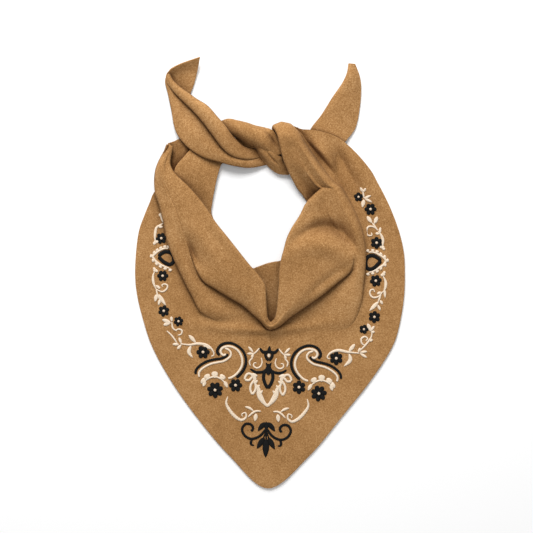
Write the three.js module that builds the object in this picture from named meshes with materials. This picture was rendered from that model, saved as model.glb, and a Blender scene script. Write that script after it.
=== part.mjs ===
// A triangular wool neckerchief with an embroidered front, knotted at the nape and laid on a table.
// Millimetres, +Z up. The origin is on the table under the middle of the outline; +Y runs from the
// bottom corner to the knot. The lengths in the tables are shares of the named sizes: x of half the
// width, y of half the length, and "up" of the loft. A "layer" counts the layers of cloth beneath.
import * as THREE from "three";

// Cloth
const WIDTH = 310; // across the laid front, hem to hem
const LENGTH = 495; // from the bottom corner to the tips of the ties
const CLOTH = 2; // thickness of the wool
const LAYER_GAP = 0.5; // air between two layers that lie on each other
const LOFT = 16; // how high the neck folds stand above the table
const TUCK = 12; // how far a full fold reaches under itself
const ROLL = 8; // how much further in the crest of a full fold stands, because it is rounded
const SLOPE = 5; // how much further in the crest of a soft fold stands
const OVERHANG = 7; // how far the left tie's roll bulges over its crease, at a puff of 1
const HEM_ROLL = 2.2; // radius of the turned neck edge
const HEM_FLAP = 6; // width of cloth turned in behind the neck edge

// Embroidery
const PATTERN_WIDTH = 160; // from tip to tip of the two paisleys
const THREAD = 0.8; // height of the raised stitching
const THREAD_GAP = 0.3; // clearance between the stitching and the cloth
const CORD = 3.4; // width of the black cord stitching
const FLOWER = 8; // radius of a flower of size 1
const MEDALLION = 9; // radius of the side medallions

// Every layer of cloth is drawn as the surface halfway through its thickness.
const FLOOR = CLOTH / 2;
const LAYER = CLOTH + LAYER_GAP;
const UP = new THREE.Vector3(0, 0, 1);
const PATTERN_CENTRE = { x: -0.019, y: -0.591 };
const PATTERN_TURN = THREE.MathUtils.degToRad(-1.9);

const WOOL = new THREE.MeshStandardMaterial({ color: 0xa87c4c, roughness: 0.95, metalness: 0 });
const BLACK_THREAD = new THREE.MeshStandardMaterial({ color: 0x1b1a17, roughness: 0.6, metalness: 0 });
const CREAM_THREAD = new THREE.MeshStandardMaterial({ color: 0xecdcc4, roughness: 0.6, metalness: 0 });

const kerchief = new THREE.Group();

function at(x, y, up = 0, layer = 0) {
  return new THREE.Vector3((x * WIDTH) / 2, (y * LENGTH) / 2, FLOOR + layer * LAYER + up * LOFT);
}

function table(columns, rows) {
  const names = columns.split(" ");
  return rows.map((row) => Object.fromEntries(names.map((name, i) => [name, row[i]])));
}

function between(a, b, share) {
  return a.clone().lerp(b, share);
}

function lifted(point, z) {
  return new THREE.Vector3(point.x, point.y, z);
}

// Samples a surface through sections that all have as many points. The steps are the samples from one
// section to the next and from one point of a section to the next. Nothing sinks into the table.
function loft(sections, stepsAcross, stepsAlong) {
  const smooth = (points, count) => {
    const curve = new THREE.CatmullRomCurve3(points, false, "centripetal");
    return Array.from({ length: count + 1 }, (_, i) => curve.getPoint(i / count));
  };
  const across = (sections.length - 1) * stepsAcross;
  const along = (sections[0].length - 1) * stepsAlong;
  const rails = sections[0].map((_, j) => smooth(sections.map((section) => section[j]), across));
  const grid = rails[0].map((_, i) => smooth(rails.map((rail) => rail[i]), along));
  for (const line of grid) for (const point of line) point.z = Math.max(point.z, FLOOR);
  return grid;
}

// The direction out of the upper face at each point of a grid.
function normals(grid) {
  const last = grid.length - 1;
  const end = grid[0].length - 1;
  return grid.map((line, i) =>
    line.map((_, j) => {
      const across = grid[Math.min(i + 1, last)][j].clone().sub(grid[Math.max(i - 1, 0)][j]);
      const along = grid[i][Math.min(j + 1, end)].clone().sub(grid[i][Math.max(j - 1, 0)]);
      return along.cross(across).normalize();
    }),
  );
}

// Turns the last edge of every line of the grid down and back in a half round, with a short flap.
function turnEdge(grid) {
  const directions = normals(grid);
  return grid.map((line, i) => {
    const edge = line[line.length - 1];
    const normal = directions[i][line.length - 1];
    const tangent = edge.clone().sub(line[line.length - 2]);
    tangent.addScaledVector(normal, -tangent.dot(normal)).normalize();
    const room = (edge.z - FLOOR - LAYER) / 2;
    const radius = THREE.MathUtils.clamp(room, LAYER / 2, HEM_ROLL);
    const turned = [60, 120, 180].map((degrees) => {
      const angle = THREE.MathUtils.degToRad(degrees);
      return edge
        .clone()
        .addScaledVector(tangent, radius * Math.sin(angle))
        .addScaledVector(normal, -radius * (1 - Math.cos(angle)));
    });
    return [...line, ...turned, turned[2].clone().addScaledVector(tangent, -HEM_FLAP)];
  });
}

// A closed wall of cloth around a grid of points halfway through its thickness.
function wall(grid) {
  const directions = normals(grid);
  const columns = grid[0].length;
  const positions = [];
  for (const side of [1, -1])
    grid.forEach((line, i) =>
      line.forEach((point, j) => {
        const face = point.clone().addScaledVector(directions[i][j], (side * CLOTH) / 2);
        positions.push(face.x, face.y, Math.max(face.z, 0));
      }),
    );
  const under = grid.length * columns;
  const index = [];
  const quad = (a, b, c, d) => index.push(a, b, c, a, c, d);
  for (let i = 0; i + 1 < grid.length; i++)
    for (let j = 0; j + 1 < columns; j++) {
      const a = i * columns + j;
      quad(a, a + 1, a + columns + 1, a + columns);
      quad(under + a, under + a + columns, under + a + columns + 1, under + a + 1);
    }
  const rim = [];
  for (let j = 0; j < columns; j++) rim.push(j);
  for (let i = 1; i < grid.length; i++) rim.push(i * columns + columns - 1);
  for (let j = columns - 2; j >= 0; j--) rim.push((grid.length - 1) * columns + j);
  for (let i = grid.length - 2; i > 0; i--) rim.push(i * columns);
  rim.forEach((a, k) => {
    const b = rim[(k + 1) % rim.length];
    quad(b, a, under + a, under + b);
  });
  const geometry = new THREE.BufferGeometry();
  geometry.setAttribute("position", new THREE.Float32BufferAttribute(positions, 3));
  geometry.setIndex(index);
  return geometry;
}

function add(name, geometry, material) {
  const mesh = new THREE.Mesh(geometry, material);
  mesh.name = name;
  kerchief.add(mesh);
  return mesh;
}

// Front panel: a section from the hem to the neck edge for each row, from the wrap over the knot down
// the right side, round the bottom corner and up the left side to where the band turns under. "lap" and
// "tuck" say how much the side and the cowl fold over themselves, from 0 to 1, "soft" how far the step
// up to the lap is drawn out into a slope, and "low" is where the cowl's fold starts. The last rows also
// give where the turned band's lower layer ends.
const PANEL = table(
  "hemX hemY hemUp lipX lipY lipUp lap soft foldX foldY low foldUp tuck midUp neckX neckY neckUp turnX turnY",
  [
    [0.193, 0.572, 0.22, 0.163, 0.572, 0.22, 0, 0, 0.133, 0.572, 0.22, 0.22, 0, 0.22, 0.104, 0.572, 0.22],
    [0.178, 0.667, 0.5, 0.133, 0.686, 0.8, 0, 0, 0.081, 0.695, 0.83, 0.85, 0, 0.8, 0.01, 0.677, 0.7],
    [0.244, 0.665, 0.5, 0.193, 0.647, 1.45, 0, 0, 0.133, 0.637, 1.55, 1.6, 0, 1.55, 0.044, 0.637, 1.45],
    [0.37, 0.656, 0.45, 0.252, 0.591, 1.4, 0, 0, 0.178, 0.572, 1.35, 1.4, 0, 1.4, 0.074, 0.565, 1.35],
    [0.519, 0.621, 0.35, 0.319, 0.526, 1.2, 0, 0.15, 0.23, 0.502, 1.1, 1.15, 0, 1.15, 0.107, 0.5, 1.1],
    [0.741, 0.479, 0.05, 0.452, 0.409, 1.0, 0, 0.3, 0.341, 0.405, 0.8, 0.5, 0, 0.25, 0.215, 0.381, 0.45],
    [0.8, 0.414, 0, 0.485, 0.386, 1.0, 0, 0.35, 0.374, 0.402, 0.85, 0.7, 0, 0.08, 0.274, 0.328, 0.2],
    [0.837, 0.372, 0, 0.511, 0.363, 1.0, 0, 0.35, 0.396, 0.381, 0.95, 0.95, 0, 0.95, 0.285, 0.316, 0.9],
    [0.896, 0.295, 0, 0.593, 0.298, 1.05, 0, 0.35, 0.43, 0.274, 0.75, 0.7, 0, 0.9, 0.226, 0.274, 0.95],
    [0.959, 0.188, 0, 0.674, 0.2, 0.95, 0.2, 0.3, 0.533, 0.177, 0.62, 0.62, 0, 0.9, 0.152, 0.198, 1.05],
    [0.993, 0.093, 0, 0.7, 0.112, 0.7, 0.5, 0.2, 0.607, 0.084, 0.72, 0.75, 0, 0.95, 0.104, 0.121, 1.1],
    [1.0, 0.005, 0, 0.7, 0.033, 0.55, 0.6, 0.15, 0.593, 0.014, 0.4, 0.75, 0.35, 1.0, 0.081, 0.063, 1.1],
    [0.996, -0.093, 0, 0.685, -0.051, 0.5, 0.6, 0.15, 0.496, -0.042, 0.25, 0.85, 0.8, 1.0, 0.067, 0.005, 1.05],
    [0.97, -0.209, 0, 0.667, -0.14, 0.4, 0.45, 0.3, 0.37, -0.105, 0.2, 0.9, 0.9, 1.0, 0.061, -0.06, 1.0],
    [0.919, -0.326, 0, 0.593, -0.237, 0.18, 0.1, 0.8, 0.248, -0.158, 0.15, 0.9, 0.9, 0.95, 0.052, -0.126, 0.95],
    [0.77, -0.479, 0, 0.452, -0.27, 0.06, 0, 1, 0.141, -0.205, 0.12, 0.85, 0.85, 0.85, 0.044, -0.177, 0.85],
    [0.548, -0.656, 0, 0.252, -0.3, 0.04, 0, 1, 0.074, -0.24, 0.1, 0.8, 0.6, 0.75, 0.033, -0.205, 0.75],
    [0.281, -0.856, 0, 0.111, -0.32, 0.02, 0, 1, 0.037, -0.253, 0.1, 0.75, 0.4, 0.65, 0.021, -0.216, 0.65],
    [-0.015, -1.0, 0, -0.007, -0.325, 0.02, 0, 1, 0, -0.257, 0.1, 0.75, 0.35, 0.65, 0.007, -0.222, 0.62],
    [-0.296, -0.851, 0, -0.133, -0.31, 0.02, 0, 1, -0.037, -0.242, 0.1, 0.75, 0.4, 0.65, -0.004, -0.216, 0.65],
    [-0.578, -0.64, 0, -0.252, -0.28, 0.04, 0, 1, -0.063, -0.223, 0.1, 0.8, 0.6, 0.75, -0.013, -0.205, 0.75],
    [-0.763, -0.47, 0, -0.356, -0.228, 0.1, 0, 1, -0.119, -0.191, 0.12, 0.85, 0.85, 0.85, -0.02, -0.167, 0.85],
    [-0.881, -0.33, 0, -0.43, -0.207, 0.3, 0.35, 0.5, -0.2, -0.147, 0.15, 0.85, 0.9, 0.95, -0.025, -0.112, 0.95],
    [-0.944, -0.209, 0, -0.511, -0.177, 0.45, 0.6, 0.2, -0.289, -0.114, 0.2, 0.85, 0.9, 1.0, -0.033, -0.056, 1.0],
    [-0.985, -0.102, 0, -0.567, -0.112, 0.5, 0.75, 0, -0.404, -0.07, 0.25, 0.85, 0.85, 1.0, -0.078, -0.014, 1.05],
    [-1.0, 0, 0, -0.63, -0.037, 0.55, 0.8, 0, -0.496, -0.03, 0.3, 0.8, 0.7, 1.0, -0.141, 0.03, 1.1],
    [-0.974, 0.188, 0, -0.752, 0.14, 0.65, 0.85, 0, -0.6, 0.116, 0.5, 0.55, 0.1, 0.95, -0.304, 0.158, 1.1],
    [-0.933, 0.265, 0, -0.781, 0.233, 0.7, 0.9, 0, -0.637, 0.195, 0.75, 0.8, 0, 1.0, -0.4, 0.235, 1.05],
    [-0.893, 0.326, 0, -0.815, 0.316, 0.7, 1, 0, -0.689, 0.293, 0.85, 0.9, 0, 1.0, -0.485, 0.316, 1.0],
    [-0.856, 0.377, 0, -0.846, 0.381, 0.7, 1, 0, -0.748, 0.377, 0.85, 0.9, 0, 0.95,
      -0.578, 0.386, 0.95, -0.667, 0.409],
    [-0.681, 0.46, 0, -0.841, 0.481, 0.6, 1, 0, -0.804, 0.479, 0.75, 0.8, 0, 0.8,
      -0.73, 0.495, 0.8, -0.519, 0.526],
    [-0.519, 0.577, 0, -0.789, 0.581, 0.35, 1, 0, -0.785, 0.57, 0.4, 0.45, 0, 0.45,
      -0.77, 0.558, 0.45, -0.533, 0.665],
  ],
);

// How far up the step the turn, the two points on the way back and the lip stand, as shares of its
// height, in a crisp fold and in a soft one.
const RISES = table("crisp soft", [
  [0, 0.07],
  [0, 0.22],
  [0.08, 0.42],
  [0.5, 0.62],
]);

// A fold that laps over the layer outside it: the cloth runs in to its turn, comes back to the lip and
// goes in again over the crest. At an amount of 0 the same six points lie in order with no fold.
function lap(outside, lip, inside, { amount, soft = 0, low, high, turnAt }) {
  const towards = inside.clone().sub(lip).setZ(0);
  const inward = towards.clone().normalize();
  const folded = turnAt ?? lip.clone().addScaledVector(inward, amount * TUCK);
  const turn = between(between(lip, outside, 0.2), folded, amount);
  const out = outside.clone().sub(turn).setZ(0).normalize();
  const foot = between(between(lip, outside, 0.3), turn.clone().addScaledVector(out, LAYER), amount);
  const reach = Math.min(LAYER + soft * SLOPE + amount * ROLL, towards.length() / 2);
  const over = low + amount * LAYER;
  const rise = RISES.map((row) => THREE.MathUtils.lerp(row.crisp, row.soft, soft) * (high - over));
  return [
    lifted(foot, low),
    lifted(turn, low + (amount * LAYER) / 2 + rise[0]),
    lifted(between(turn, lip, 0.45), over + rise[1]),
    lifted(between(turn, lip, 0.85), over + rise[2]),
    lifted(lip, over + rise[3]),
    lifted(lip.clone().addScaledVector(inward, reach), high),
  ];
}

function panelSection(row) {
  const hem = at(row.hemX, row.hemY, row.hemUp);
  const rim = at(row.neckX, row.neckY, row.neckUp);
  const turnAt = row.turnX === undefined ? undefined : at(row.turnX, row.turnY);
  const bib = FLOOR + row.hemUp * LOFT * (1 - row.lap);
  const fold = at(row.foldX, row.foldY, row.foldUp);
  const back = fold.clone().sub(rim).setZ(0).normalize();
  const neck = rim.clone().addScaledVector(back, HEM_ROLL + CLOTH / 2);
  const lip = at(row.lipX, row.lipY, row.lipUp);
  const side = lap(hem, lip, fold, { amount: row.lap, soft: row.soft, low: bib, high: lip.z, turnAt });
  const crest = side[side.length - 1];
  const cowl = lap(crest, fold, neck, { amount: row.tuck, low: FLOOR + row.low * LOFT, high: fold.z });
  const top = cowl[cowl.length - 1];
  const middle = FLOOR + row.midUp * LOFT;
  return [
    hem,
    lifted(between(hem, side[0], 0.5), bib),
    ...side,
    lifted(between(crest, cowl[0], 0.5), (crest.z + cowl[0].z) / 2),
    ...cowl,
    lifted(between(top, neck, 0.45), middle),
    lifted(between(top, neck, 0.8), (middle + neck.z) / 2),
    neck,
  ];
}

add("front_panel", wall(turnEdge(loft(PANEL.map(panelSection), 2, 1))), WOOL);

// Inner fold: the layer seen through the neck, from under the right cowl through the bottom of the V
// and up the left side to under the left tie.
const INNER_FOLD = table("outX outY outLayer inX inY inUp inLayer", [
  [0.385, 0.233, 0, 0.252, 0.274, 0, 0],
  [0.341, 0.153, 0, 0.163, 0.177, 0.05, 0],
  [0.304, 0.051, 0, 0.111, 0.107, 0.15, 0],
  [0.244, -0.06, 0, 0.081, 0.06, 0.25, 0],
  [0.141, -0.14, 0, 0.033, 0.053, 0.25, 0],
  [0.007, -0.228, 0, -0.018, 0.046, 0.25, 0],
  [-0.081, -0.167, 0, -0.094, 0.029, 0.25, 0],
  [-0.2, -0.112, 0, -0.133, 0.023, 0.2, 0],
  [-0.422, -0.005, 0, -0.259, 0.107, 0.12, 0],
  [-0.585, 0.112, 0, -0.393, 0.223, 0.12, 0],
  [-0.659, 0.223, 0, -0.433, 0.279, 0.12, 0],
  [-0.689, 0.321, 1.3, -0.426, 0.33, 0.15, 0],
  [-0.707, 0.4, 2.3, -0.41, 0.386, 0.05, 1],
  [-0.704, 0.484, 2.9, -0.387, 0.453, 0.05, 1],
  [-0.644, 0.535, 2.5, -0.357, 0.507, 0, 1],
  [-0.556, 0.591, 1.8, -0.311, 0.549, 0, 1],
  [-0.444, 0.628, 1.8, -0.252, 0.572, 0, 1],
]);

function innerFoldSection(row) {
  const out = at(row.outX, row.outY, 0, row.outLayer);
  const inner = at(row.inX, row.inY, row.inUp, row.inLayer);
  return [out, between(out, inner, 0.35), between(out, inner, 0.7), inner];
}

add("inner_fold", wall(loft(INNER_FOLD.map(innerFoldSection), 2, 1)), WOOL);

// Left tie: a strip folded along its left edge, with a rolled front layer. The back layer shows beyond
// the front one only at the tip.
const TAIL_LEFT = table("edgeX edgeY creaseX creaseY rollX rollY backX backY layer puff", [
  [-0.015, 0.507, -0.059, 0.54, -0.089, 0.572, -0.104, 0.567, 0, 0.05],
  [-0.148, 0.491, -0.163, 0.533, -0.185, 0.581, -0.185, 0.567, 1.5, 0.1],
  [-0.259, 0.498, -0.274, 0.549, -0.27, 0.626, -0.304, 0.605, 3, 0.2],
  [-0.37, 0.516, -0.348, 0.579, -0.322, 0.681, -0.378, 0.637, 3, 0.35],
  [-0.496, 0.54, -0.437, 0.651, -0.378, 0.724, -0.444, 0.702, 3, 0.4],
  [-0.615, 0.591, -0.511, 0.714, -0.467, 0.781, -0.496, 0.749, 2.8, 0.4],
  [-0.693, 0.66, -0.585, 0.772, -0.533, 0.803, -0.556, 0.786, 1.5, 0.35],
  [-0.726, 0.758, -0.667, 0.823, -0.589, 0.837, -0.593, 0.819, 0.7, 0.35],
  [-0.752, 0.833, -0.715, 0.865, -0.659, 0.865, -0.552, 0.879, 0.2, 0.35],
  [-0.772, 0.888, -0.752, 0.898, -0.722, 0.895, -0.527, 0.947, 0, 0.3],
  [-0.77, 0.914, -0.759, 0.919, -0.748, 0.921, -0.517, 1.0, 0, 0.2],
]);

function tailLeftSection(row) {
  const back = at(row.backX, row.backY, 0, row.layer);
  const edge = at(row.edgeX, row.edgeY, 0, row.layer + 0.5);
  const crease = at(row.creaseX, row.creaseY, 0, row.layer + 1);
  const roll = at(row.rollX, row.rollY, row.puff / 2, row.layer + 1);
  const height = row.puff * LOFT;
  const outward = edge.clone().sub(crease).setZ(0).normalize();
  const bulge = crease.clone().addScaledVector(outward, OVERHANG * row.puff);
  const shoulder = lifted(bulge, crease.z + 0.6 * height);
  const crest = lifted(between(crease, roll, 0.45), crease.z + height);
  const inside = lifted(between(edge, crease, 0.5), crease.z + 0.1 * height);
  const tucked = lifted(between(roll, crease, 0.3), crease.z + 0.15 * height);
  const below = lifted(between(back, edge, 0.6), back.z);
  const nearEdge = lifted(between(below, edge, 0.7), back.z);
  return [back, below, nearEdge, edge, inside, crease, shoulder, crest, roll, tucked];
}

add("tail_left", wall(loft(TAIL_LEFT.map(tailLeftSection), 2, 1).reverse()), WOOL);

// Right tie: a plain strip from under the knot to its pointed end.
const TAIL_RIGHT = table("leftX leftY leftUp rightX rightY rightUp puff", [
  [0.222, 0.572, 0.15, 0.444, 0.526, 0.1, 0],
  [0.267, 0.623, 0.25, 0.504, 0.567, 0.15, 0],
  [0.306, 0.673, 0.22, 0.564, 0.614, 0.12, 0.05],
  [0.376, 0.729, 0.15, 0.633, 0.673, 0, 0.1],
  [0.465, 0.816, 0.2, 0.668, 0.781, 0, 0.15],
  [0.541, 0.884, 0.25, 0.674, 0.851, 0, 0.2],
  [0.572, 0.926, 0.25, 0.665, 0.907, 0, 0.2],
  [0.585, 0.972, 0.1, 0.63, 0.97, 0, 0.1],
]);

function tailRightSection(row) {
  const left = at(row.leftX, row.leftY, row.leftUp);
  const right = at(row.rightX, row.rightY, row.rightUp);
  const puffed = (share, part) => {
    const point = between(left, right, share);
    return lifted(point, point.z + part * row.puff * LOFT);
  };
  return [left, puffed(0.12, 0.7), puffed(0.35, 1), puffed(0.7, 0.8), right];
}

add("tail_right", wall(loft(TAIL_RIGHT.map(tailRightSection), 2, 1)), WOOL);

// Knot: the band that crosses from the left tie to under the wrap, and the twisted strand beneath it.
const KNOT_BAND = table("topX topY topUp lowX lowY lowUp puff", [
  [-0.352, 0.709, 0.45, -0.344, 0.695, 0.45, 0],
  [-0.296, 0.709, 0.5, -0.3, 0.665, 0.4, 0.15],
  [-0.237, 0.703, 0.65, -0.252, 0.63, 0.45, 0.4],
  [-0.17, 0.693, 0.7, -0.17, 0.595, 0.75, 0.5],
  [-0.104, 0.679, 0.75, -0.104, 0.584, 1.05, 0.45],
  [-0.037, 0.67, 0.75, -0.03, 0.563, 1.1, 0.3],
  [0.019, 0.658, 0.82, 0.052, 0.546, 0.85, 0.05],
  [0.07, 0.615, 0.78, 0.1, 0.553, 0.72, 0],
]);

const KNOT_TWIST = table("topX topY topUp lowX lowY lowUp puff", [
  [-0.22, 0.655, 0.2, -0.285, 0.595, 0.15, 0],
  [-0.13, 0.62, 0.42, -0.205, 0.572, 0.1, 0],
  [-0.085, 0.6, 0.6, -0.155, 0.575, 0.1, 0],
  [-0.044, 0.586, 0.65, -0.107, 0.581, 0.6, 0.2],
  [0.022, 0.563, 0.65, -0.074, 0.544, 0.55, 0.3],
  [0.074, 0.54, 0.5, -0.03, 0.509, 0.4, 0.3],
  [0.141, 0.52, 0.4, 0.011, 0.484, 0.3, 0.25],
  [0.178, 0.495, 0.3, 0.059, 0.463, 0.2, 0.15],
  [0.185, 0.47, 0.25, 0.133, 0.456, 0.2, 0],
]);

function strandSection(row) {
  const top = at(row.topX, row.topY, row.topUp);
  const low = at(row.lowX, row.lowY, row.lowUp);
  const bulge = (share, part) => {
    const point = between(top, low, share);
    return lifted(point, point.z + part * row.puff * LOFT);
  };
  return [top, bulge(0.15, 0.7), bulge(0.4, 1), bulge(0.7, 0.9), bulge(0.9, 0.5), low];
}

add("knot_band", wall(loft(KNOT_BAND.map(strandSection), 2, 1).reverse()), WOOL);
add("knot_twist", wall(loft(KNOT_TWIST.map(strandSection), 2, 1).reverse()), WOOL);

// Embroidery: raised shapes that lie just clear of the flat front. Each is an outline in the pattern's
// own frame, whose lengths are shares of half the pattern's width.
const HALF_PATTERN = PATTERN_WIDTH / 2;
const STEPS_PER_POINT = 2;

function stitched(name, outline, material) {
  const raised = { depth: THREAD, bevelEnabled: false, curveSegments: 4 };
  const geometry = new THREE.ExtrudeGeometry(outline, raised);
  const mesh = add(name, geometry, material);
  mesh.position.z = CLOTH + THREAD_GAP;
  return mesh;
}

function onPattern(mesh) {
  const centre = at(PATTERN_CENTRE.x, PATTERN_CENTRE.y);
  mesh.position.x = centre.x;
  mesh.position.y = centre.y;
  mesh.rotation.z = PATTERN_TURN;
  return mesh;
}

// The outline of a cord of stitches along a smooth line, with the ends cut square.
function cordOutline(points, width, side) {
  const line = points.map(([x, y]) => new THREE.Vector3(side * x * HALF_PATTERN, y * HALF_PATTERN, 0));
  const curve = new THREE.CatmullRomCurve3(line, false, "centripetal");
  const steps = (points.length - 1) * STEPS_PER_POINT;
  const edges = [1, -1].map((facing) =>
    Array.from({ length: steps + 1 }, (_, i) => {
      const point = curve.getPoint(i / steps);
      const tangent = curve.getTangent(i / steps);
      const reach = (facing * width) / 2;
      return new THREE.Vector2(point.x - tangent.y * reach, point.y + tangent.x * reach);
    }),
  );
  return new THREE.Shape([...edges[0], ...edges[1].reverse()]);
}

// Where the handles of a leaf's curves stand: up its length, and out as shares of half its width.
const LEAF_FORM = { low: 0.2, high: 0.7, belly: 1.4, shoulder: 0.9 };
const TIP_WALL = 1.6; // how much thicker the wall of an open leaf is at its tip

// A leaf or petal from its foot to its tip, with a hole of the same form if it has a wall.
function petalOutline(length, width, wallWidth) {
  const leaf = (path, from, to, half) => {
    path.moveTo(0, from);
    const low = from + LEAF_FORM.low * (to - from);
    const high = from + LEAF_FORM.high * (to - from);
    const [belly, shoulder] = [half * LEAF_FORM.belly, half * LEAF_FORM.shoulder];
    path.bezierCurveTo(belly, low, shoulder, high, 0, to);
    path.bezierCurveTo(-shoulder, high, -belly, low, 0, from);
    return path;
  };
  const shape = leaf(new THREE.Shape(), 0, length, width / 2);
  if (wallWidth > 0) {
    const tip = length - TIP_WALL * wallWidth;
    shape.holes.push(leaf(new THREE.Path(), wallWidth, tip, width / 2 - wallWidth));
  }
  return shape;
}

// Flowers: black petals round a seed that is left open. Those of the border follow the hem, and those
// of the middle follow the pattern.
const BORDER_FLOWERS = table("number x y size petals", [
  [1, -0.805, 0.161, 0.85, 6],
  [2, -0.795, -0.013, 0.85, 6],
  [3, -0.787, -0.176, 0.85, 6],
  [4, -0.678, -0.224, 0.75, 6],
  [6, 0.656, 0.353, 0.7, 5],
  [7, 0.745, 0.296, 0.9, 6],
  [8, 0.79, 0.14, 0.9, 6],
  [9, 0.784, -0.036, 0.9, 6],
  [10, 0.774, -0.204, 0.9, 6],
  [11, 0.696, -0.261, 0.7, 5],
]);
const MIDDLE_FLOWERS = table("number x y size petals", [
  [5, -0.947, 0.662, 1, 6],
  [12, 0.967, 0.648, 1, 6],
  [13, -0.756, 0.123, 1.2, 7],
  [14, -0.464, 0.201, 1, 6],
  [15, 0.735, 0.123, 1.2, 7],
  [16, 0.447, 0.204, 1, 6],
]);
const PETAL_DEPTH = 0.15; // how far the petals wave in and out
const SEED = 0.2;
const STEPS_PER_PETAL = 4;

function flowerOutline(radius, petals) {
  const steps = petals * STEPS_PER_PETAL;
  const ring = Array.from({ length: steps }, (_, i) => {
    const angle = (i / steps) * 2 * Math.PI;
    const reach = radius * (1 - PETAL_DEPTH + PETAL_DEPTH * Math.cos(petals * angle));
    return new THREE.Vector2(reach * Math.cos(angle), reach * Math.sin(angle));
  });
  const shape = new THREE.Shape(ring);
  shape.holes.push(new THREE.Path().absarc(0, 0, radius * SEED, 0, 2 * Math.PI, true));
  return shape;
}

function flowerPad(flower) {
  return stitched(`flower_${flower.number}`, flowerOutline(flower.size * FLOWER, flower.petals), BLACK_THREAD);
}

for (const flower of BORDER_FLOWERS) {
  const place = at(flower.x, flower.y);
  const pad = flowerPad(flower);
  pad.position.x = place.x;
  pad.position.y = place.y;
}

for (const flower of MIDDLE_FLOWERS) {
  const pad = onPattern(flowerPad(flower));
  const away = new THREE.Vector3(flower.x * HALF_PATTERN, flower.y * HALF_PATTERN, 0);
  pad.position.add(away.applyAxisAngle(UP, PATTERN_TURN));
}

// Side medallions: black rings with a point that looks outwards.
const MEDALLIONS = table("name x y turn", [
  ["medallion_left", -0.767, 0.072, 90],
  ["medallion_right", 0.79, 0.053, -90],
]);

for (const medallion of MEDALLIONS) {
  const outline = petalOutline(2 * MEDALLION, 1.6 * MEDALLION, CORD * 0.8);
  const mesh = stitched(medallion.name, outline, BLACK_THREAD);
  const turn = THREE.MathUtils.degToRad(medallion.turn);
  const place = at(medallion.x, medallion.y);
  mesh.rotation.z = turn;
  mesh.position.x = place.x + MEDALLION * Math.sin(turn);
  mesh.position.y = place.y;
}

// Cords of stitches, drawn for the left side and mirrored to the right.
const CORDS = table("name material width points", [
  ["paisley_back", BLACK_THREAD, 1, [[-0.717, 0.62], [-0.748, 0.69], [-0.669, 0.787], [-0.496, 0.797],
    [-0.352, 0.658], [-0.316, 0.511], [-0.386, 0.369], [-0.453, 0.31]]],
  ["paisley_belly", BLACK_THREAD, 0.8, [[-0.577, 0.66], [-0.74, 0.577], [-0.93, 0.505], [-1.045, 0.35]]],
  ["paisley_lining", CREAM_THREAD, 0.6, [[-0.64, 0.66], [-0.688, 0.705], [-0.6, 0.745], [-0.457, 0.716],
    [-0.375, 0.579], [-0.42, 0.43], [-0.514, 0.313], [-0.582, 0.276]]],
  ["paisley_rim", CREAM_THREAD, 0.6, [[-0.55, 0.6], [-0.678, 0.53], [-0.876, 0.452], [-0.992, 0.301]]],
  ["lotus_feather", CREAM_THREAD, 0.6, [[-0.571, 0.033], [-0.606, -0.058], [-0.55, -0.187], [-0.459, -0.273],
    [-0.356, -0.298], [-0.307, -0.238]]],
  ["lotus_base", CREAM_THREAD, 1, [[-0.155, 0.08], [-0.14, 0.02], [-0.024, -0.106]]],
  ["scroll", BLACK_THREAD, 0.8, [[-0.05, -0.49], [-0.1, -0.555], [-0.2, -0.575], [-0.3, -0.53],
    [-0.355, -0.44], [-0.325, -0.355], [-0.26, -0.335], [-0.2, -0.375], [-0.195, -0.43]]],
  ["scroll_stem", BLACK_THREAD, 0.6, [[-0.19, -0.62], [-0.2, -0.65], [-0.165, -0.68]]],
]);

for (const cord of CORDS)
  for (const [side, end] of [[1, "left"], [-1, "right"]]) {
    const outline = cordOutline(cord.points, cord.width * CORD, side);
    onPattern(stitched(`${cord.name}_${end}`, outline, cord.material));
  }

// Petals and leaves round the middle of the pattern. "open" is the wall round a petal's hole, and 0
// leaves it closed.
const PETALS = table("name material x y length width open turn", [
  ["crown_middle", BLACK_THREAD, 0, 0.59, 0.17, 0.12, 0.04, 0],
  ["crown_left", BLACK_THREAD, -0.08, 0.62, 0.14, 0.09, 0, 50],
  ["crown_right", BLACK_THREAD, 0.08, 0.62, 0.14, 0.09, 0, -50],
  ["ogee", BLACK_THREAD, -0.006, 0.17, 0.32, 0.18, 0.05, 0],
  ["lotus_low_left", CREAM_THREAD, -0.14, 0.11, 0.18, 0.13, 0.035, 35],
  ["lotus_low_right", CREAM_THREAD, 0.14, 0.11, 0.18, 0.13, 0.035, -35],
  ["lotus_high_left", CREAM_THREAD, -0.22, 0.26, 0.15, 0.11, 0.03, 30],
  ["lotus_high_right", CREAM_THREAD, 0.22, 0.26, 0.15, 0.11, 0.03, -30],
  ["leaf_top", BLACK_THREAD, 0, -0.45, 0.15, 0.09, 0, 0],
  ["leaf_bottom", BLACK_THREAD, 0, -0.59, 0.22, 0.09, 0, 180],
  ["leaf_bottom_left", BLACK_THREAD, -0.05, -0.6, 0.12, 0.08, 0, 145],
  ["leaf_bottom_right", BLACK_THREAD, 0.05, -0.6, 0.12, 0.08, 0, -145],
]);

// Turns a curve of a petal's outline about the petal's foot and moves it to its place.
function moveCurve(curve, petal, turn) {
  const foot = new THREE.Vector2(petal.x * HALF_PATTERN, petal.y * HALF_PATTERN);
  for (const key of ["v0", "v1", "v2", "v3"]) curve[key].rotateAround(new THREE.Vector2(), turn).add(foot);
}

for (const petal of PETALS) {
  const [length, width, open] = [petal.length, petal.width, petal.open].map((share) => share * HALF_PATTERN);
  const outline = petalOutline(length, width, open);
  const turn = THREE.MathUtils.degToRad(petal.turn);
  for (const path of [outline, ...outline.holes]) path.curves.forEach((curve) => moveCurve(curve, petal, turn));
  onPattern(stitched(petal.name, outline, petal.material));
}

export default kerchief;
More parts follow.
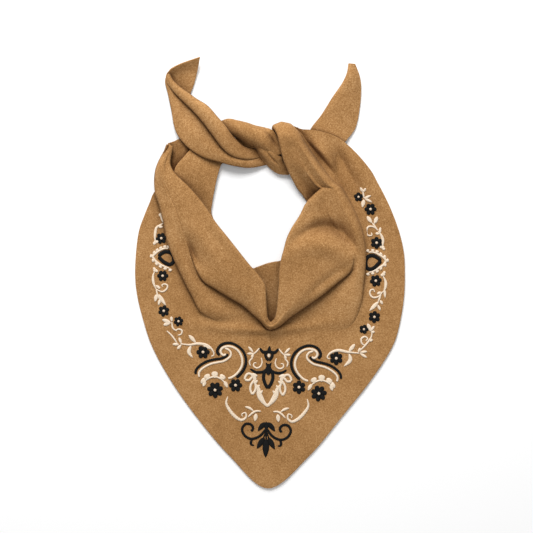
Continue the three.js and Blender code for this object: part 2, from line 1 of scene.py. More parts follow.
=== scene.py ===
"""The finish of a felted wool neckerchief: its folds, its knot and ties, and the stitching on its front.

Lengths are in metres. The tables hold shares: x of half the width, y of half the length and "up" of the loft
for the cloth, and shares of half the pattern's width for the stitching.
"""

import logging
import math
from collections.abc import Sequence
from dataclasses import dataclass, field
from enum import Enum
from types import SimpleNamespace

import bmesh
import bpy
import numpy as np
from mathutils import Matrix, Vector, noise
from mathutils.bvhtree import BVHTree

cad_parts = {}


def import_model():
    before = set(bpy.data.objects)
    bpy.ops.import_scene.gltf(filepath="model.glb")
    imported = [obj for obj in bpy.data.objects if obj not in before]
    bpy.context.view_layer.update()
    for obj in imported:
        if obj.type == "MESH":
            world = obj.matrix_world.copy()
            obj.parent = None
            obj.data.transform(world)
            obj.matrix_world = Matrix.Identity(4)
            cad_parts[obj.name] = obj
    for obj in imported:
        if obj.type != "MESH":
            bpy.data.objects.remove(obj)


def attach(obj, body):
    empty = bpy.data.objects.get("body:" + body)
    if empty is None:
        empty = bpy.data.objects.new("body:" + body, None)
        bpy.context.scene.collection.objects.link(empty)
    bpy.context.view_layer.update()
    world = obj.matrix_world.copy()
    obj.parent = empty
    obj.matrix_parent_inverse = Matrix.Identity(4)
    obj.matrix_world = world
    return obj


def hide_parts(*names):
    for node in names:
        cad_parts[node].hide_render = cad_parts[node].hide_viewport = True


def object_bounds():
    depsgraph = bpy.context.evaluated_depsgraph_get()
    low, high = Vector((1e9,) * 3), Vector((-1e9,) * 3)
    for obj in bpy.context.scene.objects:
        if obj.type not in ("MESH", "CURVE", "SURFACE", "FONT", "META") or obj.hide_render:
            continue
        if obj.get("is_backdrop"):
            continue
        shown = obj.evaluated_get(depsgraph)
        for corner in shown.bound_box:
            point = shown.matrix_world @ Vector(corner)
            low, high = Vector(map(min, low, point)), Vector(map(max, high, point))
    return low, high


log = logging.getLogger("neckerchief")

MILLIMETRE = 0.001
TINY = 1e-7
# The attribute that holds how far the folds close the cloth in, which the wool paints as shade
PAINTED_SHADE_ATTRIBUTE = "painted_fold_shade"
STITCH_MAP = "stitch"
# The sockets of a mix node that mixes colours, the second colour here being the painted shade
MIX_FACTOR, MIX_OPEN, MIX_PAINTED_SHADE = 0, 6, 7
MIX_RESULT = 2
# The scale of a wave texture times the width of one of its bands
WAVE_SCALE = math.pi / 10

Colour = tuple[float, float, float, float]
Place = tuple[float, float]
Rows = tuple[SimpleNamespace, ...]
Socket = bpy.types.NodeSocket


class Slot(Enum):
    """The three finishes, by the names of the record's material slots."""

    WOOL = "wool"
    BLACK = "black_thread"
    CREAM = "cream_thread"


class Stitch(Enum):
    """How the width of a line of stitches runs from its first point to its last."""

    LINE = "line"
    LEAF = "leaf"
    PETAL = "petal"
    HOOK = "hook"
    PLUME = "plume"
    CORD = "cord"
    ROPE = "rope"


Looks = dict[Slot, bpy.types.Material]


def table(columns: str, *rows: Sequence) -> Rows:
    """Name the values of each row.

    Args:
        columns: The names of the columns, apart by blanks.
        rows: The values, where a short row leaves its last columns at None.

    Returns:
        One object for each row, with a field for each column.
    """
    names = columns.split()
    return tuple(SimpleNamespace(**{**dict.fromkeys(names), **dict(zip(names, row))}) for row in rows)


def through(points: np.ndarray, steps: Sequence[int]) -> np.ndarray:
    """Run a centripetal Catmull-Rom curve through points.

    Args:
        points: The places to pass, along the first axis; the last axis holds coordinates.
        steps: The samples in each interval between two places.

    Returns:
        The samples along the first axis, with the last place at the end.
    """
    first = 2 * points[:1] - points[1:2]
    last = 2 * points[-1:] - points[-2:-1]
    line = np.concatenate([first, points, last])
    samples = []
    for i, count in enumerate(steps):
        p0, p1, p2, p3 = line[i : i + 4]
        gap0, gap1, gap2 = (
            np.sqrt(np.linalg.norm(b - a, axis=-1, keepdims=True)) for a, b in ((p0, p1), (p1, p2), (p2, p3))
        )
        gap1 = np.where(gap1 < TINY, 1.0, gap1)
        gap0 = np.where(gap0 < TINY, gap1, gap0)
        gap2 = np.where(gap2 < TINY, gap1, gap2)
        leave = ((p1 - p0) / gap0 - (p2 - p0) / (gap0 + gap1) + (p2 - p1) / gap1) * gap1
        arrive = ((p2 - p1) / gap1 - (p3 - p1) / (gap1 + gap2) + (p3 - p2) / gap2) * gap1
        t = (np.arange(count) / count).reshape([-1] + [1] * (points.ndim - 1))
        square = -3 * p1 + 3 * p2 - 2 * leave - arrive
        cube = 2 * p1 - 2 * p2 + leave + arrive
        samples.append(p1 + leave * t + square * t**2 + cube * t**3)
    samples.append(points[-1:])
    return np.concatenate(samples)


def unit(vectors: np.ndarray) -> np.ndarray:
    """Bring vectors to a length of one, and leave those of no length at nought."""
    length = np.linalg.norm(vectors, axis=-1, keepdims=True)
    return vectors / np.maximum(length, TINY)


def grid_faces(rows: int, columns: int, first: int = 0) -> list[tuple[int, int, int, int]]:
    """List the faces of a grid of points.

    Args:
        rows: The rows of points.
        columns: The points in each row.
        first: The number of the first point.

    Returns:
        The four corners of each face.
    """
    starts = (first + i * columns + j for i in range(rows - 1) for j in range(columns - 1))
    return [(a, a + 1, a + columns + 1, a + columns) for a in starts]


def mesh_object(name: str, bm: bmesh.types.BMesh, finish: bpy.types.Material) -> bpy.types.Object:
    """Turn a finished bmesh into a smooth object at the origin.

    Args:
        name: The name of the piece.
        bm: The bmesh, which is freed.
        finish: The material of the whole piece.

    Returns:
        The new object, linked to the scene.
    """
    mesh = bpy.data.meshes.new(name)
    bm.to_mesh(mesh)
    bm.free()
    mesh.shade_smooth()
    mesh.materials.append(finish)
    obj = bpy.data.objects.new(name, mesh)
    bpy.context.scene.collection.objects.link(obj)
    return obj


@dataclass(frozen=True)
class Shades:
    """A chain of shader nodes that read the place on the piece."""

    tree: bpy.types.NodeTree

    def node(self, kind: str, **values: object) -> bpy.types.Node:
        """Add a node and set its properties by name."""
        made = self.tree.nodes.new(kind)
        for key, value in values.items():
            setattr(made, key, value)
        return made

    def join(self, source: Socket, target: Socket) -> None:
        """Link an output to an input."""
        self.tree.links.new(source, target)

    def speckle(self, place: Socket, size: float, detail: float = 1, rough: float = 0.5) -> Socket:
        """Add a noise whose patches have about a given size.

        Args:
            place: The coordinates to read.
            size: The width of a patch, in metres.
            detail: The number of finer layers.
            rough: How strong the finer layers are.

        Returns:
            The noise, from 0 to 1.
        """
        made = self.node("ShaderNodeTexNoise")
        made.inputs["Scale"].default_value = 1 / size
        made.inputs["Detail"].default_value = detail
        made.inputs["Roughness"].default_value = rough
        self.join(place, made.inputs["Vector"])
        return made.outputs["Fac"]

    def weigh(self, parts: Sequence[tuple[Socket, float]]) -> Socket:
        """Add values up, each times its weight.

        Args:
            parts: The values and their weights.

        Returns:
            The sum.
        """
        total = None
        for value, weight in parts:
            step = self.node("ShaderNodeMath", operation="MULTIPLY_ADD")
            self.join(value, step.inputs[0])
            step.inputs[1].default_value = weight
            step.inputs[2].default_value = 0.0
            if total is not None:
                self.join(total, step.inputs[2])
            total = step.outputs[0]
        return total

    def ramp(self, value: Socket, stops: Sequence[tuple[float, Colour]]) -> Socket:
        """Turn a value into a colour.

        Args:
            value: The value to read.
            stops: Places from 0 to 1 with their colours.

        Returns:
            The colour.
        """
        made = self.node("ShaderNodeValToRGB")
        elements = made.color_ramp.elements
        elements[0].position, elements[0].color = stops[0]
        elements[1].position, elements[1].color = stops[-1]
        for position, colour in stops[1:-1]:
            elements.new(position).color = colour
        self.join(value, made.inputs["Fac"])
        return made.outputs["Color"]

    def relief(self, height: Socket, strength: float, depth: float) -> Socket:
        """Turn a height into the direction of the surface.

        Args:
            height: The height, from 0 to 1.
            strength: The share of the relief that shows.
            depth: The distance from the lowest height to the highest.

        Returns:
            The direction of the surface.
        """
        bump = self.node("ShaderNodeBump")
        bump.inputs["Strength"].default_value = strength
        bump.inputs["Distance"].default_value = depth
        self.join(height, bump.inputs["Height"])
        return bump.outputs["Normal"]


def new_material(name: str) -> tuple[bpy.types.Material, Shades, bpy.types.Node]:
    """Start a material.

    Args:
        name: The material's name.

    Returns:
        The material, its node helper and its surface shader.
    """
    material = bpy.data.materials.new(name)
    material.use_nodes = True
    return material, Shades(material.node_tree), material.node_tree.nodes["Principled BSDF"]


@dataclass(frozen=True)
class Wool:
    """Felted wool: mixed light and dark fibres, a soft nap, and painted shade where folds close it in."""

    deep: Colour = (0.140, 0.064, 0.017, 1)
    body: Colour = (0.335, 0.168, 0.058, 1)
    fair: Colour = (0.600, 0.360, 0.165, 1)
    # Painted shade: the colour that the wool is drawn towards where the folds close it in, and how strongly
    painted_shade_colour: Colour = (0.22, 0.155, 0.10, 1)
    painted_shade_strength: float = 1.9
    stops: tuple[float, ...] = (0.32, 0.50, 0.68)
    fibre: float = 0.7 * MILLIMETRE
    heather: float = 1.8 * MILLIMETRE
    mottle: float = 9 * MILLIMETRE
    cloud: float = 70 * MILLIMETRE
    shares: tuple[float, ...] = (0.50, 0.28, 0.09, 0.13)
    nap: float = 0.35 * MILLIMETRE
    nap_shares: tuple[float, ...] = (0.6, 0.4)
    nap_strength: float = 0.55

    def material(self) -> bpy.types.Material:
        """Build the material."""
        material, shades, surface = new_material("felted_wool")
        place = shades.node("ShaderNodeTexCoord").outputs["Object"]
        fibre = shades.speckle(place, self.fibre, detail=2, rough=0.6)
        heather = shades.speckle(place, self.heather, detail=2, rough=0.55)
        mottle = shades.speckle(place, self.mottle)
        cloud = shades.speckle(place, self.cloud)
        mixed = shades.weigh(list(zip((fibre, heather, mottle, cloud), self.shares)))
        colour = shades.ramp(mixed, list(zip(self.stops, (self.deep, self.body, self.fair))))
        shades.join(self.paint_fold_shade(shades, colour), surface.inputs["Base Color"])
        nap = shades.weigh(list(zip((fibre, heather), self.nap_shares)))
        shades.join(shades.relief(nap, self.nap_strength, self.nap), surface.inputs["Normal"])
        surface.inputs["Roughness"].default_value = 0.95
        surface.inputs["Specular IOR Level"].default_value = 0.15
        surface.inputs["Sheen Weight"].default_value = 0.05
        surface.inputs["Sheen Roughness"].default_value = 0.4
        surface.inputs["Sheen Tint"].default_value = (1.0, 0.82, 0.58, 1)
        return material

    def paint_fold_shade(self, shades: Shades, colour: Socket) -> Socket:
        """Darken a colour with painted shade where the folds close the cloth in, read from its stored
        attribute.

        Args:
            shades: The material's nodes.
            colour: The colour of cloth in the open.

        Returns:
            The colour with the painted shade.
        """
        # Painted shade: the stored occlusion of the folds multiplies the wool's colour towards a dark brown
        painted_fold_shade = shades.node("ShaderNodeAttribute", attribute_name=PAINTED_SHADE_ATTRIBUTE).outputs["Fac"]
        folded = shades.node("ShaderNodeMix", data_type="RGBA", blend_type="MULTIPLY", clamp_factor=True)
        shades.join(shades.weigh([(painted_fold_shade, self.painted_shade_strength)]), folded.inputs[MIX_FACTOR])
        shades.join(colour, folded.inputs[MIX_OPEN])
        folded.inputs[MIX_PAINTED_SHADE].default_value = self.painted_shade_colour
        return folded.outputs[MIX_RESULT]


@dataclass(frozen=True)
class Thread:
    """Satin thread, laid across the line of stitches; u runs along the line and v across it, in metres."""

    name: str
    deep: Colour
    fair: Colour
    roughness: float
    specular: float
    sheen: float = 0.0
    strand: float = 0.42 * MILLIMETRE
    wear: float = 1.5 * MILLIMETRE
    relief: float = 0.12 * MILLIMETRE
    relief_strength: float = 0.6
    shares: tuple[float, ...] = (0.6, 0.4)
    stops: tuple[float, ...] = (0.15, 0.75)
    distortion: float = 1.2

    def material(self) -> bpy.types.Material:
        """Build the material."""
        material, shades, surface = new_material(self.name)
        place = shades.node("ShaderNodeUVMap", uv_map=STITCH_MAP).outputs["UV"]
        strands = shades.node("ShaderNodeTexWave", wave_type="BANDS", bands_direction="X")
        strands.inputs["Scale"].default_value = WAVE_SCALE / self.strand
        strands.inputs["Distortion"].default_value = self.distortion
        strands.inputs["Detail"].default_value = 1
        shades.join(place, strands.inputs["Vector"])
        wear = shades.speckle(shades.node("ShaderNodeTexCoord").outputs["Object"], self.wear)
        mixed = shades.weigh(list(zip((strands.outputs["Fac"], wear), self.shares)))
        colour = shades.ramp(mixed, list(zip(self.stops, (self.deep, self.fair))))
        shades.join(colour, surface.inputs["Base Color"])
        relief = shades.relief(strands.outputs["Fac"], self.relief_strength, self.relief)
        shades.join(relief, surface.inputs["Normal"])
        surface.inputs["Roughness"].default_value = self.roughness
        surface.inputs["Specular IOR Level"].default_value = self.specular
        surface.inputs["Sheen Weight"].default_value = self.sheen
        surface.inputs["Sheen Roughness"].default_value = 0.4
        return material


def finishes() -> Looks:
    """Make the material of each slot."""
    black = Thread(
        "black_thread", (0.003, 0.003, 0.003, 1), (0.009, 0.009, 0.0085, 1), roughness=0.7, specular=0.12
    )
    cream = Thread(
        "cream_thread", (0.62, 0.47, 0.33, 1), (0.86, 0.73, 0.57, 1), roughness=0.65, specular=0.2, sheen=0.1
    )
    return {Slot.WOOL: Wool().material(), Slot.BLACK: black.material(), Slot.CREAM: cream.material()}


@dataclass(frozen=True)
class Cut:
    """The sizes that every piece of the cloth shares, read from the frame where it gives them."""

    width: float
    length: float
    cloth: float = 2 * MILLIMETRE
    gap: float = 0.5 * MILLIMETRE
    loft: float = 16 * MILLIMETRE
    tuck: float = 12 * MILLIMETRE
    hem_roll: float = 2.2 * MILLIMETRE
    hem_flap: float = 6 * MILLIMETRE

    @property
    def floor(self) -> float:
        """Height of the middle of a layer that lies on the table."""
        return self.cloth / 2

    @property
    def layer(self) -> float:
        """Height from one layer to the next."""
        return self.cloth + self.gap

    def at(self, x: float, y: float, up: float = 0, layer: float = 0) -> np.ndarray:
        """Turn shares into a place halfway through the cloth."""
        height = self.floor + layer * self.layer + up * self.loft
        return np.array([x * self.width / 2, y * self.length / 2, height])


def lifted(point: np.ndarray, z: float) -> np.ndarray:
    """Copy a point to another height."""
    return np.array([point[0], point[1], z])


def between(a: np.ndarray, b: np.ndarray, share: float) -> np.ndarray:
    """Mix two points."""
    return a + (b - a) * share


def level(vector: np.ndarray) -> np.ndarray:
    """The direction of a vector in plan."""
    return unit(lifted(vector, 0.0))


@dataclass
class WoolPiece:
    """One piece of the cloth, a wall around a surface that is lofted through sections.

    Swells are measured in millimetres and their turn in degrees, against x. Patches are the sizes of the
    felt's unevenness and their shares of it.
    """

    cut: Cut
    name: str
    node: str
    flat: tuple[float, float]
    area: float
    held: str
    rests_on: tuple[str, ...]
    rows: Rows = ()
    row_steps: int = 10
    column_steps: tuple[int, ...] = ()
    turned_over: bool = False
    swells: Rows = ()
    unevenness: float = 0.35 * MILLIMETRE
    patches: tuple[Place, ...] = ((0.055, 1.0), (0.019, 0.55))
    rim_angle: float = math.radians(60)
    rim_share: float = 0.3
    grid: np.ndarray | None = field(default=None, init=False)

    def section(self, row: SimpleNamespace) -> list[np.ndarray]:
        """The points of one section across the piece."""
        raise NotImplementedError

    def surface(self) -> np.ndarray:
        """The middle of the cloth, as rows of points with the upper face upwards."""
        sections = np.array([self.section(row) for row in self.rows])
        rails = through(sections, [self.row_steps] * (len(sections) - 1))
        grid = through(rails.swapaxes(0, 1), self.column_steps).swapaxes(0, 1)
        grid[..., 2] = np.maximum(grid[..., 2], self.cut.floor)
        return grid

    def finish_edges(self, grid: np.ndarray) -> np.ndarray:
        """Let a piece turn an edge; most are left as they are."""
        return grid

    def span(self, region: str) -> np.ndarray:
        """How far each column follows the swells of a region, from 0 to 1."""
        return np.ones(sum(self.column_steps) + 1)

    def settle(self, grid: np.ndarray) -> np.ndarray:
        """Add the soft swells and hollows that the loft leaves out, and the unevenness of the felt.

        Args:
            grid: The middle of the cloth.

        Returns:
            The same surface with its heights changed.
        """
        rise = np.zeros(grid.shape[:2])
        for swell in self.swells:
            away = grid[..., :2] - self.cut.at(swell.x, swell.y)[:2]
            turn = math.radians(swell.turn)
            cos, sin = math.cos(turn), math.sin(turn)
            along = (away[..., 0] * cos + away[..., 1] * sin) / (swell.long * MILLIMETRE)
            across = (away[..., 1] * cos - away[..., 0] * sin) / (swell.wide * MILLIMETRE)
            bend = across - (swell.bow or 0) * along**2
            bend = np.where(bend < 0, bend / (swell.steep or 1), bend)
            rise += swell.rise * MILLIMETRE * np.exp(-(along**2) - bend**2) * self.span(swell.region)
        for size, share in self.patches:
            patch = np.array([[noise.noise(Vector((p[0], p[1], 0)) / size) for p in line] for line in grid])
            rise += patch * share * self.unevenness
        settled = grid.copy()
        settled[..., 2] = np.maximum(grid[..., 2] + rise, self.cut.floor)
        return settled

    def build(self, finish: bpy.types.Material) -> bpy.types.Object:
        """Args:
            finish: The wool.

        Returns:
            The finished object.
        """
        grid = self.finish_edges(self.settle(self.surface()))
        if self.turned_over:
            grid = grid[::-1]
        self.grid = grid
        rows, columns = grid.shape[:2]
        bm = bmesh.new()
        bmesh.ops.create_grid(bm, x_segments=columns - 1, y_segments=rows - 1, size=1)
        for vert, place in zip(bm.verts, grid.reshape(-1, 3)):
            vert.co = place
        obj = mesh_object(self.name, bm, finish)
        wall = obj.modifiers.new("wall", "SOLIDIFY")
        wall.thickness = self.cut.cloth
        wall.offset = 0
        wall.use_quality_normals = True
        rim = obj.modifiers.new("rim", "BEVEL")
        rim.limit_method = "ANGLE"
        rim.angle_limit = self.rim_angle
        rim.width = self.rim_share * self.cut.cloth
        rim.segments = 2
        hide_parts(self.node)
        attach(obj, "root")
        log.info("%s: %d x %d points", self.name, rows, columns)
        return obj


SWELL_COLUMNS = "region x y long wide turn rise bow steep"
FRONT_ROWS = table(
    "hemX hemY hemUp lipX lipY lipUp lap soft "
    "foldX foldY low foldUp tuck midUp neckX neckY neckUp turnX turnY",
    [0.193, 0.572, 0.22, 0.163, 0.572, 0.22, 0, 0,
     0.133, 0.572, 0.22, 0.22, 0, 0.22, 0.104, 0.572, 0.22],
    [0.178, 0.667, 0.5, 0.14, 0.688, 0.8, 0, 0.4,
     0.081, 0.695, 0.83, 0.85, 0, 0.8, 0.01, 0.677, 0.7],
    [0.244, 0.665, 0.5, 0.2, 0.652, 1.45, 0, 0.6,
     0.133, 0.637, 1.55, 1.6, 0, 1.55, 0.044, 0.637, 1.45],
    [0.37, 0.656, 0.45, 0.256, 0.594, 1.4, 0, 0.6,
     0.178, 0.572, 1.35, 1.4, 0, 1.4, 0.074, 0.565, 1.35],
    [0.519, 0.621, 0.35, 0.327, 0.53, 1.2, 0, 0.6,
     0.23, 0.502, 1.1, 1.15, 0, 1.15, 0.107, 0.5, 1.1],
    [0.741, 0.479, 0.05, 0.462, 0.42, 1.05, 0, 0.9,
     0.341, 0.405, 0.8, 0.5, 0, 0.25, 0.215, 0.381, 0.4],
    [0.8, 0.414, 0, 0.515, 0.395, 1.0, 0, 1,
     0.388, 0.389, 0.85, 0.6, 0, 0.05, 0.288, 0.314, 0.1],
    [0.837, 0.372, 0, 0.54, 0.375, 1.0, 0, 1,
     0.387, 0.392, 0.95, 0.95, 0, 0.95, 0.272, 0.328, 0.92],
    [0.896, 0.295, 0, 0.602, 0.302, 1.05, 0, 0.9,
     0.43, 0.274, 0.75, 0.7, 0, 0.9, 0.226, 0.274, 0.95],
    [0.959, 0.188, 0, 0.672, 0.2, 0.95, 0.15, 0.6,
     0.533, 0.177, 0.62, 0.62, 0, 0.9, 0.152, 0.198, 1.05],
    [0.993, 0.093, 0, 0.7, 0.112, 0.7, 0.5, 0.2,
     0.607, 0.084, 0.72, 0.75, 0, 0.95, 0.104, 0.121, 1.1],
    [1.0, 0.005, 0, 0.7, 0.033, 0.55, 0.6, 0.15,
     0.593, 0.014, 0.4, 0.75, 0.35, 1.0, 0.081, 0.063, 1.1],
    [0.996, -0.093, 0, 0.685, -0.051, 0.5, 0.6, 0.15,
     0.496, -0.042, 0.25, 0.85, 0.8, 1.0, 0.067, 0.005, 1.05],
    [0.97, -0.209, 0, 0.667, -0.14, 0.4, 0.45, 0.3,
     0.37, -0.105, 0.2, 0.9, 0.9, 1.0, 0.061, -0.06, 1.0],
    [0.919, -0.326, 0, 0.593, -0.237, 0.18, 0.1, 0.8,
     0.248, -0.158, 0.15, 0.9, 0.9, 0.95, 0.052, -0.126, 0.95],
    [0.77, -0.479, 0, 0.452, -0.27, 0.06, 0, 1,
     0.141, -0.205, 0.12, 0.85, 0.85, 0.85, 0.044, -0.177, 0.85],
    [0.548, -0.656, 0, 0.252, -0.3, 0.04, 0, 1,
     0.074, -0.24, 0.1, 0.8, 0.6, 0.75, 0.033, -0.205, 0.75],
    [0.281, -0.856, 0, 0.111, -0.32, 0.02, 0, 1,
     0.037, -0.253, 0.1, 0.75, 0.4, 0.65, 0.021, -0.216, 0.65],
    [-0.015, -1.0, 0, -0.007, -0.325, 0.02, 0, 1,
     0, -0.257, 0.1, 0.75, 0.35, 0.65, 0.007, -0.222, 0.62],
    [-0.296, -0.851, 0, -0.133, -0.31, 0.02, 0, 1,
     -0.037, -0.242, 0.1, 0.75, 0.4, 0.65, -0.004, -0.216, 0.65],
    [-0.578, -0.64, 0, -0.252, -0.28, 0.04, 0, 1,
     -0.063, -0.223, 0.1, 0.8, 0.6, 0.75, -0.013, -0.205, 0.75],
    [-0.763, -0.47, 0, -0.356, -0.228, 0.1, 0, 1,
     -0.119, -0.191, 0.12, 0.85, 0.85, 0.85, -0.02, -0.167, 0.85],
    [-0.881, -0.33, 0, -0.43, -0.207, 0.3, 0.35, 0.5,
     -0.2, -0.147, 0.15, 0.85, 0.9, 0.95, -0.025, -0.112, 0.95],
    [-0.944, -0.209, 0, -0.511, -0.177, 0.45, 0.6, 0.2,
     -0.289, -0.114, 0.2, 0.85, 0.9, 1.0, -0.033, -0.056, 1.0],
    [-0.985, -0.102, 0, -0.567, -0.112, 0.5, 0.75, 0,
     -0.404, -0.07, 0.25, 0.85, 0.85, 1.0, -0.078, -0.014, 1.05],
    [-1.0, 0, 0, -0.63, -0.037, 0.55, 0.8, 0,
     -0.496, -0.03, 0.3, 0.8, 0.7, 1.0, -0.141, 0.03, 1.1],
    [-0.974, 0.188, 0, -0.752, 0.14, 0.65, 0.85, 0,
     -0.6, 0.116, 0.5, 0.55, 0.1, 0.95, -0.304, 0.158, 1.1],
    [-0.933, 0.265, 0, -0.781, 0.233, 0.7, 0.9, 0,
     -0.637, 0.195, 0.75, 0.8, 0, 1.0, -0.4, 0.235, 1.05],
    [-0.893, 0.326, 0, -0.815, 0.316, 0.75, 1, 0,
     -0.689, 0.293, 0.85, 0.9, 0, 1.0, -0.485, 0.316, 1.0],
    [-0.856, 0.377, 0, -0.846, 0.381, 0.7, 1, 0,
     -0.748, 0.377, 0.85, 0.9, 0, 0.95, -0.578, 0.386, 0.95, -0.667, 0.409],
    [-0.681, 0.46, 0, -0.841, 0.481, 0.75, 1, 0,
     -0.804, 0.479, 0.85, 0.9, 0, 0.8, -0.73, 0.495, 0.8, -0.519, 0.526],
    [-0.519, 0.577, 0, -0.748, 0.6, 0.6, 1, 0,
     -0.735, 0.592, 0.65, 0.68, 0, 0.68, -0.705, 0.575, 0.6, -0.533, 0.665],
)
FRONT_SWELLS = table(
    SWELL_COLUMNS,
    ["bib", 0.4, 0.53, 26, 8, -62, 5.5, 0],
    ["bib", 0.7, 0.44, 42, 9, -62, 5, 0],
    ["front", 0.315, 0.562, 24, 5, -52, -4, 0],
    ["upper", 0.37, 0.48, 32, 8, -52, 2.5, 0],
    ["front", 0.541, 0.46, 26, 7, -76, -8, 0],
    ["upper", 0.43, 0.214, 28, 7.5, -8, -8, -1.6],
    ["upper", 0.41, 0.125, 30, 12, -12, 5, -0.8],
    ["upper", 0.4, -0.04, 30, 5, 38, -2.5, -0.4],
    ["cowl", -0.6, 0.098, 15, 5, -61, -8, 0],
    ["cowl", -0.5, 0.14, 30, 9, -55, 2.5, 0],
    ["front", -0.06, -0.262, 65, 5.5, 1, 3, 0.9],
)


@dataclass
class FrontPanel(WoolPiece):
    """The flat front with the cowl folded over it, up to the wrap over the knot.

    The first stretches of columns carry the stitching. The two shares place the turn and the foot of a lap
    outside its lip, and each of the slopes says how much of the rise one of its points has, where the lap is
    steep and where it is drawn out. The regions are the stretches of columns that a swell fills.
    """

    rows: Rows = FRONT_ROWS
    swells: Rows = FRONT_SWELLS
    column_steps: tuple[int, ...] = (12, 12, 3, 3, 3, 3, 3, 8, 8, 3, 3, 3, 3, 3, 8, 8, 4)
    turn_steps: int = 8
    flap_steps: int = 2
    stitched: int = 3
    turn_share: float = 0.2
    foot_share: float = 0.3
    returns: Place = (0.45, 0.85)
    neck_stops: Place = (0.45, 0.8)
    slopes: tuple[Place, ...] = ((0, 0.07), (0, 0.22), (0.08, 0.42), (0.5, 0.62))
    slope_width: float = 5 * MILLIMETRE
    roll_width: float = 8 * MILLIMETRE
    regions: dict[str, tuple[int, int]] = field(
        default_factory=lambda: {"bib": (0, 2), "front": (0, 9), "upper": (7, 17), "cowl": (14, 17)}
    )

    def span(self, region: str) -> np.ndarray:
        """How far each column follows the swells of a region, which fade out over the next stretch."""
        first, last = self.regions[region]
        stops = np.concatenate([[0], np.cumsum(self.column_steps)])
        columns = np.arange(stops[-1] + 1)
        fade = [max(first - 1, 0), first, last, min(last + 1, len(stops) - 1)]
        ends = [0 if first > 0 else 1, 1, 1, 0 if last + 1 < len(stops) else 1]
        return np.interp(columns, stops[fade], ends)

    def lap(
        self,
        outside: np.ndarray,
        lip: np.ndarray,
        inside: np.ndarray,
        amount: float,
        low: float,
        high: float,
        turn_at: np.ndarray | None = None,
        soft: float = 0,
    ) -> list[np.ndarray]:
        """A fold that laps over the layer outside it.

        Args:
            outside: A point of the layer that it lies on.
            lip: The fold's outermost point.
            inside: A point further in.
            amount: How far it is folded, from 0 to 1.
            low: The height of the lower layer.
            high: The height of the crest.
            turn_at: Where the lower layer ends, if not a tuck's length in.
            soft: How far the step up to the crest is drawn out into a slope, from 0 to 1.

        Returns:
            The foot, the turn, two points on the way back, the lip and the crest.
        """
        inward = level(inside - lip)
        folded = lip + inward * amount * self.cut.tuck if turn_at is None else turn_at
        turn = between(between(lip, outside, self.turn_share), folded, amount)
        out = level(outside - turn)
        foot = between(between(lip, outside, self.foot_share), turn + out * self.cut.layer, amount)
        room = float(np.linalg.norm(lifted(inside - lip, 0)))
        crest = min(self.cut.layer + soft * self.slope_width + amount * self.roll_width, 0.5 * room)
        over = low + amount * self.cut.layer
        rise = [(steep + (easy - steep) * soft) * (high - over) for steep, easy in self.slopes]
        return [
            lifted(foot, low),
            lifted(turn, low + amount * self.cut.layer / 2 + rise[0]),
            lifted(between(turn, lip, self.returns[0]), over + rise[1]),
            lifted(between(turn, lip, self.returns[1]), over + rise[2]),
            lifted(lip, over + rise[3]),
            lifted(lip + inward * crest, high),
        ]

    def section(self, row: SimpleNamespace) -> list[np.ndarray]:
        """The points of one section from the hem to the neck edge."""
        cut = self.cut
        hem = cut.at(row.hemX, row.hemY, row.hemUp)
        rim = cut.at(row.neckX, row.neckY, row.neckUp)
        turn_at = None if row.turnX is None else cut.at(row.turnX, row.turnY)
        bib = cut.floor + row.hemUp * cut.loft * (1 - row.lap)
        fold = cut.at(row.foldX, row.foldY, row.foldUp)
        neck = rim + level(fold - rim) * (cut.hem_roll + cut.cloth / 2)
        lip = cut.at(row.lipX, row.lipY)
        side = self.lap(hem, lip, fold, row.lap, bib, cut.floor + row.lipUp * cut.loft, turn_at, row.soft)
        crest = side[-1]
        cowl = self.lap(crest, fold, neck, row.tuck, cut.floor + row.low * cut.loft, fold[2])
        top = cowl[-1]
        middle = cut.floor + row.midUp * cut.loft
        return [
            hem,
            lifted(between(hem, side[0], 0.5), bib),
            *side,
            lifted(between(crest, cowl[0], 0.5), (crest[2] + cowl[0][2]) / 2),
            *cowl,
            lifted(between(top, neck, self.neck_stops[0]), middle),
            lifted(between(top, neck, self.neck_stops[1]), (middle + neck[2]) / 2),
            neck,
        ]

    def finish_edges(self, grid: np.ndarray) -> np.ndarray:
        """Turn the neck edge down and back in a half round, with a short flap."""
        cut = self.cut
        across = np.gradient(grid, axis=0)[:, -1]
        along = grid[:, -1] - grid[:, -2]
        normal = unit(np.cross(along, across))
        tangent = unit(along - normal * np.sum(along * normal, axis=1, keepdims=True))
        edge = grid[:, -1]
        room = (edge[:, 2:] - cut.floor - cut.layer) / 2
        radius = np.clip(room, cut.layer / 2, cut.hem_roll)
        turned = []
        for i in range(1, self.turn_steps + 1):
            angle = math.pi * i / self.turn_steps
            turned.append(edge + tangent * radius * math.sin(angle) - normal * radius * (1 - math.cos(angle)))
        under = turned[-1]
        for i in range(1, self.flap_steps + 1):
            turned.append(under - tangent * cut.hem_flap * i / self.flap_steps)
        edges = np.stack(turned, axis=1)
        edges[..., 2] = np.maximum(edges[..., 2], cut.floor)
        return np.concatenate([grid, edges], axis=1)

    def bed(self) -> BVHTree:
        """The upper face of the flat front, which carries the stitching."""
        last = sum(self.column_steps[: self.stitched])
        flat = self.grid[:, : last + 1]
        top = flat + np.array([0, 0, self.cut.cloth / 2])
        return BVHTree.FromPolygons([Vector(p) for p in top.reshape(-1, 3)], grid_faces(*flat.shape[:2]))


